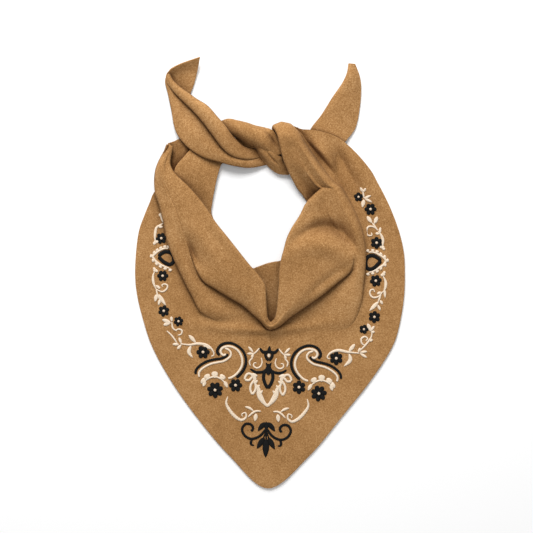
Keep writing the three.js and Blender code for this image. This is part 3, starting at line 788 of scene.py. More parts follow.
INNER_ROWS = table(
    "outX outY outLayer inX inY inUp inLayer",
    [0.385, 0.233, 0, 0.252, 0.274, 0, 0],
    [0.341, 0.153, 0, 0.163, 0.177, 0.05, 0],
    [0.304, 0.051, 0, 0.111, 0.107, 0.15, 0],
    [0.244, -0.06, 0, 0.081, 0.06, 0.25, 0],
    [0.141, -0.14, 0, 0.033, 0.053, 0.25, 0],
    [0.007, -0.228, 0, -0.018, 0.046, 0.25, 0],
    [-0.081, -0.167, 0, -0.094, 0.029, 0.25, 0],
    [-0.2, -0.112, 0, -0.133, 0.023, 0.2, 0],
    [-0.422, -0.005, 0, -0.259, 0.107, 0.12, 0],
    [-0.585, 0.112, 0, -0.393, 0.223, 0.12, 0],
    [-0.659, 0.223, 0, -0.433, 0.279, 0.12, 0],
    [-0.689, 0.321, 1.3, -0.426, 0.33, 0.15, 0],
    [-0.707, 0.4, 3.2, -0.41, 0.386, 0.05, 1],
    [-0.7, 0.484, 4.4, -0.387, 0.453, 0.05, 1],
    [-0.64, 0.535, 3.4, -0.357, 0.507, 0, 1],
    [-0.556, 0.591, 1.8, -0.311, 0.549, 0, 1],
    [-0.444, 0.628, 1.8, -0.252, 0.572, 0, 1],
)


@dataclass
class InnerFold(WoolPiece):
    """The layer seen through the neck, from under the right cowl to under the left tie."""

    rows: Rows = INNER_ROWS
    column_steps: tuple[int, ...] = (10, 10, 10)
    stops: Place = (0.35, 0.7)

    def section(self, row: SimpleNamespace) -> list[np.ndarray]:
        """The points from the outer edge to the neck."""
        out = self.cut.at(row.outX, row.outY, 0, row.outLayer)
        inner = self.cut.at(row.inX, row.inY, row.inUp, row.inLayer)
        return [out, *(between(out, inner, stop) for stop in self.stops), inner]


LEFT_TIE_ROWS = table(
    "edgeX edgeY creaseX creaseY rollX rollY backX backY layer puff tip bow",
    [-0.015, 0.507, -0.059, 0.54, -0.089, 0.572, -0.104, 0.567, 0, 0.05, 0, 0],
    [-0.148, 0.491, -0.163, 0.533, -0.185, 0.581, -0.185, 0.567, 1.5, 0.2, 0, 0],
    [-0.259, 0.498, -0.274, 0.549, -0.27, 0.626, -0.304, 0.605, 3, 0.32, 0, 0],
    [-0.37, 0.516, -0.335, 0.587, -0.33, 0.676, -0.378, 0.637, 3, 0.55, 0, 0],
    [-0.496, 0.54, -0.414, 0.655, -0.387, 0.716, -0.444, 0.69, 3, 0.62, 0, 0],
    [-0.615, 0.591, -0.488, 0.718, -0.464, 0.77, -0.496, 0.749, 2.8, 0.62, 0, 0],
    [-0.693, 0.66, -0.566, 0.77, -0.545, 0.803, -0.566, 0.78, 1.5, 0.55, 0, 0],
    [-0.726, 0.758, -0.645, 0.815, -0.612, 0.834, -0.594, 0.815, 0.7, 0.46, 0, 0],
    [-0.752, 0.833, -0.71, 0.858, -0.672, 0.862, -0.562, 0.879, 0.2, 0.42, 0, 0.5],
    [-0.772, 0.888, -0.748, 0.893, -0.72, 0.892, -0.537, 0.94, 0, 0.36, 0.12, 2],
    [-0.765, 0.915, -0.755, 0.92, -0.744, 0.922, -0.517, 1.0, 0, 0.34, 0.5, 4],
)


@dataclass
class LeftTie(WoolPiece):
    """The left tie, folded along its left edge, with a rolled front layer over a flat back one.

    The pairs hold how far a point lies from the first of its two neighbours to the second, and its height as
    a share of the roll's.
    """

    rows: Rows = LEFT_TIE_ROWS
    column_steps: tuple[int, ...] = (6, 6, 6, 8, 8, 5, 5, 7, 4)
    turned_over: bool = True
    overhang: float = 6 * MILLIMETRE
    inside: Place = (0.4, 0.2)
    crest: Place = (0.45, 1.0)
    tucked: Place = (0.3, 0.15)
    shoulder_up: float = 0.55
    back_stops: Place = (0.6, 0.7)

    def section(self, row: SimpleNamespace) -> list[np.ndarray]:
        """The points from the back layer round the folded edge to the tucked end of the roll."""
        cut = self.cut
        back = cut.at(row.backX, row.backY, row.tip, row.layer)
        edge = cut.at(row.edgeX, row.edgeY, 0, row.layer + 0.5)
        crease = cut.at(row.creaseX, row.creaseY, 0, row.layer + 1)
        roll = cut.at(row.rollX, row.rollY, row.puff / 2, row.layer + 1)
        height = row.puff * cut.loft
        inside, crest, tucked = (
            lifted(between(start, end, share), crease[2] + up * height)
            for start, end, (share, up) in (
                (edge, crease, self.inside), (crease, roll, self.crest), (roll, crease, self.tucked)
            )
        )
        shoulder = crease + level(edge - crease) * self.overhang * row.puff
        shoulder = lifted(shoulder, crease[2] + self.shoulder_up * height)
        away = unit(np.array([edge[1] - back[1], back[0] - edge[0], 0.0])) * row.bow * MILLIMETRE
        below = lifted(between(back, edge, self.back_stops[0]) + away, back[2])
        near_edge = lifted(between(below, edge, self.back_stops[1]) + away / 2, back[2])
        return [back, below, near_edge, edge, inside, crease, shoulder, crest, roll, tucked]


@dataclass
class Strip(WoolPiece):
    """A strip that is puffed up between its two edges: the right tie and the strands of the knot."""

    bulge: tuple[Place, ...] = ((0.15, 0.7), (0.4, 1), (0.7, 0.9), (0.9, 0.5))
    column_steps: tuple[int, ...] = (6, 8, 8, 6, 4)
    turned_over: bool = True

    def section(self, row: SimpleNamespace) -> list[np.ndarray]:
        """The points from the one edge to the other."""
        one = self.cut.at(row.oneX, row.oneY, row.oneUp)
        other = self.cut.at(row.otherX, row.otherY, row.otherUp)
        section = [one]
        for share, part in self.bulge:
            point = between(one, other, share)
            section.append(lifted(point, point[2] + part * row.puff * self.cut.loft))
        return [*section, other]


STRIP_COLUMNS = "oneX oneY oneUp otherX otherY otherUp puff"
RIGHT_TIE_ROWS = table(
    STRIP_COLUMNS,
    [0.222, 0.572, 0.15, 0.444, 0.526, 0.1, 0],
    [0.267, 0.623, 0.25, 0.504, 0.567, 0.15, 0],
    [0.306, 0.673, 0.22, 0.564, 0.614, 0.12, 0.05],
    [0.376, 0.729, 0.15, 0.633, 0.673, 0, 0.1],
    [0.465, 0.816, 0.2, 0.668, 0.781, 0, 0.15],
    [0.541, 0.884, 0.25, 0.674, 0.851, 0, 0.2],
    [0.572, 0.926, 0.25, 0.665, 0.907, 0, 0.2],
    [0.585, 0.972, 0.1, 0.63, 0.97, 0, 0.1],
)
BAND_ROWS = table(
    STRIP_COLUMNS,
    [-0.375, 0.7, 0.42, -0.4, 0.655, 0.4, 0],
    [-0.31, 0.712, 0.46, -0.33, 0.64, 0.38, 0.2],
    [-0.237, 0.703, 0.5, -0.252, 0.63, 0.4, 0.55],
    [-0.17, 0.693, 0.5, -0.17, 0.6, 0.5, 0.65],
    [-0.104, 0.679, 0.55, -0.104, 0.587, 0.64, 0.62],
    [-0.037, 0.67, 0.6, -0.03, 0.563, 0.78, 0.5],
    [0.019, 0.658, 0.82, 0.052, 0.546, 0.85, 0.05],
    [0.07, 0.615, 0.78, 0.1, 0.553, 0.72, 0],
)
TWIST_ROWS = table(
    STRIP_COLUMNS,
    [-0.22, 0.655, 0.2, -0.285, 0.595, 0.15, 0],
    [-0.13, 0.62, 0.3, -0.205, 0.572, 0.1, 0],
    [-0.085, 0.605, 0.46, -0.155, 0.575, 0.15, 0],
    [-0.044, 0.592, 0.62, -0.107, 0.581, 0.35, 0.3],
    [0.022, 0.57, 0.7, -0.074, 0.544, 0.4, 0.35],
    [0.074, 0.545, 0.56, -0.03, 0.509, 0.3, 0.4],
    [0.141, 0.52, 0.3, 0.011, 0.484, 0.2, 0.4],
    [0.178, 0.495, 0.3, 0.059, 0.463, 0.2, 0.15],
    [0.185, 0.47, 0.25, 0.133, 0.456, 0.2, 0],
)
BAND_PLEATS = table(SWELL_COLUMNS, ["all", 0.01, 0.62, 12, 1.8, -55, -3, 0])
TWIST_PLEATS = table(
    SWELL_COLUMNS,
    ["all", -0.037, 0.521, 14, 1.4, -53, -2.6, 0],
    ["all", 0.02, 0.528, 10, 1.4, -47, -2.4, 0],
    ["all", 0.111, 0.512, 4, 3, -47, -3.5, 0],
)
RIGHT_TIE = {
    "rows": RIGHT_TIE_ROWS,
    "bulge": ((0.12, 0.7), (0.35, 1), (0.7, 0.8)),
    "column_steps": (4, 6, 8, 8),
    "turned_over": False,
}
TWIST = {"rows": TWIST_ROWS, "swells": TWIST_PLEATS}
BAND = {"rows": BAND_ROWS, "swells": BAND_PLEATS}


def cloth_pieces(cut: Cut) -> list[WoolPiece]:
    """List the pieces of the cloth, from the table upwards."""
    return [
        FrontPanel(cut, "front_panel_wool", "front_panel", (0.40, 0.48), 0.0947, "folded", ("floor",)),
        InnerFold(cut, "inner_fold_wool", "inner_fold", (0.05, 0.30), 0.0124, "folded", ("floor",)),
        LeftTie(cut, "tail_left_wool", "tail_left", (0.062, 0.205), 0.0125, "folded", ("inner_fold",)),
        Strip(cut, "tail_right_wool", "tail_right", (0.04, 0.13), 0.0037, "laid", ("floor",), **RIGHT_TIE),
        Strip(cut, "knot_twist_wool", "knot_twist", (0.022, 0.08), 0.0017, "folded", ("tail_left",), **TWIST),
        Strip(cut, "knot_band_wool", "knot_band", (0.035, 0.08), 0.0024, "folded", ("knot_twist",), **BAND),
    ]


@dataclass(frozen=True)
class PaintedFoldShade:
    """How far the folds close in each point of the cloth, stored for the wool to paint as shade."""

    reach: float = 32 * MILLIMETRE
    lift: float = 1.7 * MILLIMETRE
    rings: tuple[tuple[float, int], ...] = ((0.92, 3), (0.7, 6), (0.4, 8))
    smoothings: int = 2
    upright: float = 0.8

    def fan(self) -> np.ndarray:
        """The directions that each point looks in, about an upright normal."""
        ways = []
        for height, count in self.rings:
            reach = math.sqrt(1 - height**2)
            for i in range(count):
                angle = math.tau * (i + height) / count
                ways.append((reach * math.cos(angle), reach * math.sin(angle), height))
        return np.array(ways)

    def looks(self, grid: np.ndarray) -> tuple[list, list]:
        """Where each point looks from, and in which directions.

        Args:
            grid: The middle of the cloth.

        Returns:
            The places and the directions, as lists.
        """
        normal = unit(np.cross(np.gradient(grid, axis=1), np.gradient(grid, axis=0)))
        normal = np.where(normal[..., 2:] < 0, -normal, normal)
        level_ways = np.abs(normal[..., 1:2]) > self.upright
        helper = np.where(level_ways, np.array([1.0, 0, 0]), np.array([0, 1.0, 0]))
        side = unit(np.cross(helper, normal))
        other = np.cross(normal, side)
        basis = np.stack([side, other, normal], axis=-2).reshape(-1, 3, 3)
        starts = (grid + normal * self.lift).reshape(-1, 3)
        return starts.tolist(), (self.fan() @ basis).tolist()

    def closed_in(self, tree: BVHTree, grid: np.ndarray) -> np.ndarray:
        """The share of the directions that cloth stops, nearer cloth counting for more.

        Args:
            tree: All the cloth.
            grid: The middle of one piece.

        Returns:
            A value from 0 to 1 for each point.
        """
        shares = []
        for start, fan in zip(*self.looks(grid)):
            hits = [tree.ray_cast(start, way, self.reach)[3] for way in fan]
            shares.append(sum(1 - far / self.reach for far in hits if far is not None) / len(fan))
        values = np.array(shares).reshape(grid.shape[:2])
        for _ in range(self.smoothings):
            wide = np.pad(values, 1, mode="edge")
            beside = wide[:-2, 1:-1] + wide[2:, 1:-1] + wide[1:-1, :-2] + wide[1:-1, 2:]
            values = (beside + 4 * values) / 8
        return values

    def mark(self, pieces: Sequence[WoolPiece], objects: Sequence[bpy.types.Object]) -> None:
        """Store on the meshes how closed in every point is, which the wool paints as shade.

        Args:
            pieces: The pieces of cloth.
            objects: Their objects, in the same order.
        """
        points: list[Vector] = []
        faces: list[tuple[int, int, int, int]] = []
        for piece in pieces:
            faces.extend(grid_faces(*piece.grid.shape[:2], len(points)))
            points.extend(Vector(point) for point in piece.grid.reshape(-1, 3))
        tree = BVHTree.FromPolygons(points, faces)
        for piece, obj in zip(pieces, objects):
            values = self.closed_in(tree, piece.grid)
            attribute = obj.data.attributes.new(PAINTED_SHADE_ATTRIBUTE, "FLOAT", "POINT")
            attribute.data.foreach_set("value", values.ravel())
            log.info("%s: closed in by up to %.2f", obj.name, values.max())


@dataclass(frozen=True)
class Line:
    """One line of stitches: its kind, its width as a share of the cord's and the places that it passes."""

    kind: Stitch
    width: float
    places: tuple[Place, ...]

    def mirrored(self) -> "Line":
        """The same line on the other side of the pattern."""
        return Line(self.kind, self.width, tuple((-x, y) for x, y in self.places))


@dataclass(frozen=True)
class Motif:
    """A group of lines in one thread, drawn for the left side or across the middle."""

    name: str
    slot: Slot
    lines: tuple[Line, ...]
    nodes: tuple[str, ...] = ()
    mirror: bool = True


@dataclass
class Stitcher:
    """Lays lines of stitches on the flat front.

    A line thinner than the slim share of the cord's width stands lower, by the taper. The fullness rounds the
    dome of every line. The grooves of a rope are as deep as the groove share and lean by the lean share.
    """

    cut: Cut
    bed: BVHTree
    half: float = 80 * MILLIMETRE
    cord: float = 3.4 * MILLIMETRE
    height: float = 0.95 * MILLIMETRE
    sink: float = 0.25 * MILLIMETRE
    step: float = 0.5 * MILLIMETRE
    rope: float = 2.1 * MILLIMETRE
    sides: int = 12
    samples: int = 24
    slim: float = 0.3
    taper: float = 0.7
    fullness: float = 0.75
    groove: float = 0.16
    lean: float = 0.3
    bead_height: float = 0.7
    centre: Place = (-0.019, -0.591)
    turn: float = math.radians(-1.9)

    def spot(self, place: Place) -> np.ndarray:
        """Turn a place of the pattern into one on the kerchief, in plan."""
        x, y = place[0] * self.half, place[1] * self.half
        cos, sin = math.cos(self.turn), math.sin(self.turn)
        middle = self.cut.at(*self.centre)
        return np.array([middle[0] + x * cos - y * sin, middle[1] + x * sin + y * cos])

    def ground(self, x: float, y: float) -> float:
        """The height of the cloth under a place, or of the flat cloth where a fold hides it."""
        hit = self.bed.ray_cast(Vector((x, y, 1)), Vector((0, 0, -1)))[0]
        return self.cut.cloth if hit is None else hit.z

    def reach(self, kind: Stitch, along: np.ndarray, length: float, width: float) -> np.ndarray:
        """Half the width at each sample of a line.

        Args:
            kind: The kind of line.
            along: Each sample's distance from the start.
            length: The whole length.
            width: The full width.

        Returns:
            Half the width, which is nought at both ends.
        """
        half = width / 2
        share = np.clip(along / length, 0, 1)
        arch = np.sin(math.pi * share)
        end = np.minimum(along, length - along) / half
        round_end = np.sqrt(np.clip(1 - (1 - np.clip(end, 0, 1)) ** 2, 0, 1))
        if kind is Stitch.LINE:
            return half * round_end * (0.55 + 0.45 * arch)
        if kind is Stitch.LEAF:
            return half * np.sin(math.pi * share**0.85) ** 0.8
        if kind is Stitch.PETAL:
            return half * np.sin(math.pi * share**1.45) ** 0.5
        if kind is Stitch.HOOK:
            return half * round_end * (0.45 + 0.55 * arch**2)
        if kind is Stitch.PLUME:
            barbs = 0.16 * np.cos(2 * math.pi * along / (1.4 * self.rope))
            return half * round_end * (0.3 + 0.7 * np.sin(math.pi * share**0.8) ** 1.5 * (1 + barbs))
        if kind is Stitch.ROPE:
            return half * round_end * (1 + 0.09 * np.cos(2 * math.pi * along / self.rope))
        return half * round_end

    def lay(self, bm: bmesh.types.BMesh, line: Line) -> None:
        """Add one line of stitches, a closed domed strip that follows the cloth.

        Args:
            bm: The bmesh that collects the motif.
            line: The line, in shares of half the pattern.
        """
        places = np.array([self.spot(place) for place in line.places])
        fine = through(places, [self.samples] * (len(places) - 1))
        run = np.concatenate([[0], np.cumsum(np.linalg.norm(np.diff(fine, axis=0), axis=1))])
        count = max(8, round(run[-1] / self.step))
        along = np.linspace(0, run[-1], count + 1)
        path = np.stack([np.interp(along, run, fine[:, k]) for k in (0, 1)], axis=1)
        tangent = unit(np.gradient(path, axis=0))
        normal = np.stack([-tangent[:, 1], tangent[:, 0]], axis=1)
        reach = self.reach(line.kind, along, run[-1], line.width * self.cord)
        columns = self.sides + 1
        made = bmesh.ops.create_grid(bm, x_segments=self.sides, y_segments=count, size=1)["verts"]
        layer = bm.loops.layers.uv.verify()
        where = {}
        for k, vert in enumerate(made):
            i, j = divmod(k, columns)
            angle = 2 * math.pi * j / self.sides
            across = reach[i] * math.cos(angle)
            x, y = path[i] + normal[i] * across
            rise = self.height * min(1.0, reach[i] / (self.slim * self.cord)) ** self.taper
            dome = math.sin(angle)
            sunk = self.sink * min(1.0, rise / self.height)
            lift = rise * dome**self.fullness if dome > 0 else -sunk * (-dome) ** 0.5
            if line.kind is Stitch.ROPE and dome > 0:
                lean = self.lean * across / self.cord
                lift *= 1 + self.groove * math.cos(2 * math.pi * (along[i] / self.rope + lean))
            vert.co = (x, y, self.ground(x, y) + lift)
            where[vert] = (along[i], across)
        for vert in made:
            for loop in vert.link_loops:
                loop[layer].uv = where[vert]
        bmesh.ops.remove_doubles(bm, verts=made, dist=TINY)

    def bead(self, bm: bmesh.types.BMesh, x: float, y: float, radius: float, lift: float) -> None:
        """Add a small round knot of thread.

        Args:
            bm: The bmesh that collects the knots.
            x: Its place in plan.
            y: Its place in plan.
            radius: Its radius.
            lift: How far its middle stands above the cloth.
        """
        shape = Matrix.Diagonal((1, 1, self.bead_height, 1))
        place = Matrix.Translation((x, y, self.ground(x, y) + lift)) @ shape
        bmesh.ops.create_icosphere(bm, subdivisions=2, radius=radius, matrix=place, calc_uvs=True)

    def piece(
        self, name: str, bm: bmesh.types.BMesh, slot: Slot, looks: Looks, nodes: Sequence[str] = ()
    ) -> bpy.types.Object:
        """Finish a bmesh of stitches as a piece of the kerchief.

        Args:
            name: The piece's name.
            bm: The stitches.
            slot: The thread.
            looks: The materials.
            nodes: The solids that it stands for.

        Returns:
            The finished object.
        """
        bmesh.ops.recalc_face_normals(bm, faces=bm.faces)
        bm.loops.layers.uv.verify()
        obj = mesh_object(name, bm, looks[slot])
        obj.data.uv_layers[0].name = STITCH_MAP
        if nodes:
            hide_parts(*nodes)
        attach(obj, "root")
        log.info("%s: %d faces", name, len(obj.data.polygons))
        return obj

    def motif(self, motif: Motif, looks: Looks) -> None:
        """Stitch a motif, once or on both sides.

        Args:
            motif: The motif.
            looks: The materials.
        """
        sides = (("left", False), ("right", True)) if motif.mirror else (("", False),)
        for end, other in sides:
            bm = bmesh.new()
            for line in motif.lines:
                self.lay(bm, line.mirrored() if other else line)
            name = f"{motif.name}_{end}" if end else motif.name
            nodes = [f"{node}_{end}" if end else node for node in motif.nodes]
            self.piece(f"{name}_stitches", bm, motif.slot, looks, nodes)


def lines(kind: Stitch, width: float, *routes: Sequence[Place]) -> tuple[Line, ...]:
    """Several lines of one kind and width."""
    return tuple(Line(kind, width, tuple(route)) for route in routes)


def both(kind: Stitch, width: float, *routes: Sequence[Place]) -> tuple[Line, ...]:
    """Several lines of one kind and width, each with its mirror image."""
    return tuple(side for line in lines(kind, width, *routes) for side in (line, line.mirrored()))


LINE, LEAF, PETAL, HOOK, PLUME, CORD, ROPE = Stitch

MIDDLE = (
    Motif(
        "paisley_back",
        Slot.BLACK,
        lines(
            ROPE,
            1.0,
            [(-0.71, 0.62), (-0.743, 0.675), (-0.726, 0.733), (-0.671, 0.785), (-0.575, 0.806),
             (-0.491, 0.785), (-0.413, 0.736), (-0.357, 0.668), (-0.328, 0.585), (-0.328, 0.509),
             (-0.355, 0.43), (-0.401, 0.364), (-0.457, 0.312)],
        ),
        ("paisley_back",),
    ),
    Motif(
        "paisley_belly",
        Slot.BLACK,
        lines(
            ROPE,
            0.9,
            [(-0.583, 0.647), (-0.626, 0.608), (-0.683, 0.58), (-0.785, 0.561), (-0.873, 0.535),
             (-0.95, 0.494), (-1.012, 0.44), (-1.042, 0.389), (-1.044, 0.34)],
        ),
        ("paisley_belly",),
    ),
    Motif(
        "paisley_lining",
        Slot.CREAM,
        lines(
            CORD,
            0.78,
            [(-0.614, 0.646), (-0.647, 0.626), (-0.685, 0.651), (-0.694, 0.695), (-0.663, 0.735),
             (-0.594, 0.756), (-0.521, 0.746), (-0.457, 0.71), (-0.411, 0.653), (-0.382, 0.577),
             (-0.38, 0.5), (-0.409, 0.428), (-0.459, 0.362), (-0.52, 0.315), (-0.577, 0.295)],
        ),
        ("paisley_lining",),
    ),
    Motif(
        "paisley_rim",
        Slot.CREAM,
        lines(
            CORD,
            0.72,
            [(-0.637, 0.729), (-0.579, 0.706), (-0.549, 0.668), (-0.548, 0.63), (-0.568, 0.597),
             (-0.644, 0.543), (-0.732, 0.521), (-0.822, 0.498), (-0.904, 0.457), (-0.965, 0.41),
             (-0.997, 0.357), (-0.988, 0.3)],
        ),
        ("paisley_rim",),
    ),
    Motif(
        "paisley_scallops",
        Slot.CREAM,
        lines(
            LINE, 0.62, [(-0.937, 0.211), (-0.861, 0.284), (-0.767, 0.313), (-0.687, 0.29), (-0.597, 0.213)]
        )
        + lines(
            PETAL,
            2.3,
            [(-0.9, 0.23), (-0.962, 0.262)],
            [(-0.85, 0.27), (-0.898, 0.342)],
            [(-0.767, 0.29), (-0.769, 0.392)],
            [(-0.683, 0.275), (-0.635, 0.342)],
        )
        + lines(LEAF, 1.3, [(-0.9, 0.25), (-0.93, 0.165)], [(-0.63, 0.255), (-0.575, 0.16)]),
    ),
    Motif(
        "sprig",
        Slot.CREAM,
        lines(
            LEAF,
            0.9,
            [(-0.3, 0.765), (-0.22, 0.675)],
            [(-0.315, 0.66), (-0.215, 0.665)],
            [(-0.25, 0.595), (-0.22, 0.67)],
        )
        + lines(
            LINE,
            0.6,
            [(-0.225, 0.655), (-0.185, 0.69), (-0.135, 0.75)],
            [(-0.225, 0.61), (-0.275, 0.55), (-0.26, 0.485)],
            [(-0.11, 0.61), (-0.095, 0.54), (-0.12, 0.48), (-0.17, 0.46), (-0.215, 0.49), (-0.205, 0.53),
             (-0.17, 0.53)],
        ),
    ),
    Motif(
        "crown",
        Slot.BLACK,
        lines(
            CORD,
            1.0,
            [(0.003, 0.72), (-0.05, 0.66), (-0.035, 0.61), (0, 0.57)],
            [(0.003, 0.72), (0.05, 0.66), (0.035, 0.61), (0, 0.57)],
        )
        + lines(LEAF, 1.35, [(0, 0.66), (0.005, 0.785)])
        + both(LINE, 1.1, [(0, 0.71), (-0.08, 0.69), (-0.14, 0.75)]),
        ("crown_middle", "crown_left", "crown_right"),
        mirror=False,
    ),
    Motif("crown_drop", Slot.CREAM, lines(PETAL, 1.0, [(0, 0.685), (0, 0.615)]), mirror=False),
    Motif(
        "ogee",
        Slot.BLACK,
        both(CORD, 1.15, [(0, 0.47), (-0.05, 0.41), (-0.068, 0.33), (-0.045, 0.245), (0, 0.17)])
        + both(LINE, 1.0, [(-0.265, 0.445), (-0.18, 0.4), (-0.09, 0.405), (0, 0.46)])
        + lines(LEAF, 2.2, [(0, 0.36), (0, 0.53)])
        + both(LEAF, 0.8, [(0, 0.47), (-0.04, 0.545)]),
        ("ogee",),
        mirror=False,
    ),
    Motif(
        "lotus_high",
        Slot.CREAM,
        lines(
            CORD,
            0.8,
            [(-0.335, 0.285), (-0.325, 0.335), (-0.285, 0.375), (-0.23, 0.36), (-0.2, 0.34)],
            [(-0.335, 0.285), (-0.275, 0.28), (-0.24, 0.315), (-0.21, 0.345)],
        )
        + lines(LEAF, 1.5, [(-0.255, 0.36), (-0.15, 0.345)])
        + lines(LEAF, 1.3, [(-0.2, 0.36), (-0.185, 0.24)]),
        ("lotus_high",),
    ),
    Motif(
        "lotus_low",
        Slot.CREAM,
        lines(
            CORD,
            0.8,
            [(-0.2, 0.285), (-0.245, 0.21), (-0.25, 0.145), (-0.22, 0.075)],
            [(-0.2, 0.275), (-0.175, 0.205), (-0.18, 0.14), (-0.22, 0.075)],
        )
        + lines(LEAF, 1.0, [(-0.2, 0.235), (-0.145, 0.285)]),
        ("lotus_low",),
    ),
    Motif(
        "lotus_base",
        Slot.CREAM,
        lines(HOOK, 1.9, [(-0.175, 0.225), (-0.135, 0.16), (-0.12, 0.085), (-0.08, 0.005), (0.005, -0.095)])
        + lines(LEAF, 1.0, [(-0.165, 0.165), (-0.115, 0.22)], [(-0.125, 0.075), (-0.07, 0.145)])
        + lines(CORD, 0.9, [(-0.09, 0.02), (-0.04, -0.045), (0.005, -0.075)]),
        ("lotus_base",),
    ),
    Motif(
        "lotus_feather",
        Slot.CREAM,
        lines(
            PLUME,
            1.15,
            [(-0.57, 0.04), (-0.59, -0.06), (-0.53, -0.17), (-0.44, -0.26), (-0.36, -0.295),
             (-0.3, -0.25), (-0.31, -0.19), (-0.36, -0.21), (-0.35, -0.25)],
        ),
        ("lotus_feather",),
    ),
    Motif(
        "lotus_sprig",
        Slot.CREAM,
        lines(LINE, 0.75, [(-0.085, -0.16), (-0.155, -0.16), (-0.21, -0.19), (-0.27, -0.25)])
        + lines(LEAF, 0.9, [(-0.32, -0.1), (-0.255, -0.12), (-0.185, -0.165)])
        + lines(LEAF, 1.45, [(-0.155, -0.195), (-0.17, -0.31)]),
    ),
    Motif(
        "scroll",
        Slot.BLACK,
        lines(
            ROPE,
            0.88,
            [(-0.012, -0.415), (-0.06, -0.485), (-0.135, -0.54), (-0.22, -0.56), (-0.31, -0.515),
             (-0.35, -0.425), (-0.305, -0.352), (-0.235, -0.35), (-0.195, -0.392), (-0.2, -0.43),
             (-0.225, -0.45)],
        ),
        ("scroll",),
    ),
    Motif(
        "scroll_stem",
        Slot.BLACK,
        lines(HOOK, 0.95, [(-0.18, -0.55), (-0.215, -0.6), (-0.21, -0.64), (-0.165, -0.655)]),
        ("scroll_stem",),
    ),
    Motif(
        "leaf_top",
        Slot.BLACK,
        lines(LEAF, 1.5, [(0, -0.43), (-0.005, -0.305)])
        + both(LEAF, 1.7, [(0, -0.32), (-0.06, -0.365), (-0.125, -0.445)])
        + lines(CORD, 0.6, [(0, -0.36), (0, -0.58)]),
        ("leaf_top",),
        mirror=False,
    ),
    Motif(
        "leaf_bottom",
        Slot.BLACK,
        lines(LEAF, 2.3, [(0, -0.55), (0, -0.825)])
        + both(LEAF, 1.85, [(-0.025, -0.53), (-0.13, -0.7)])
        + both(LINE, 0.5, [(0, -0.44), (-0.05, -0.57)]),
        ("leaf_bottom", "leaf_bottom_left", "leaf_bottom_right"),
        mirror=False,
    ),
)

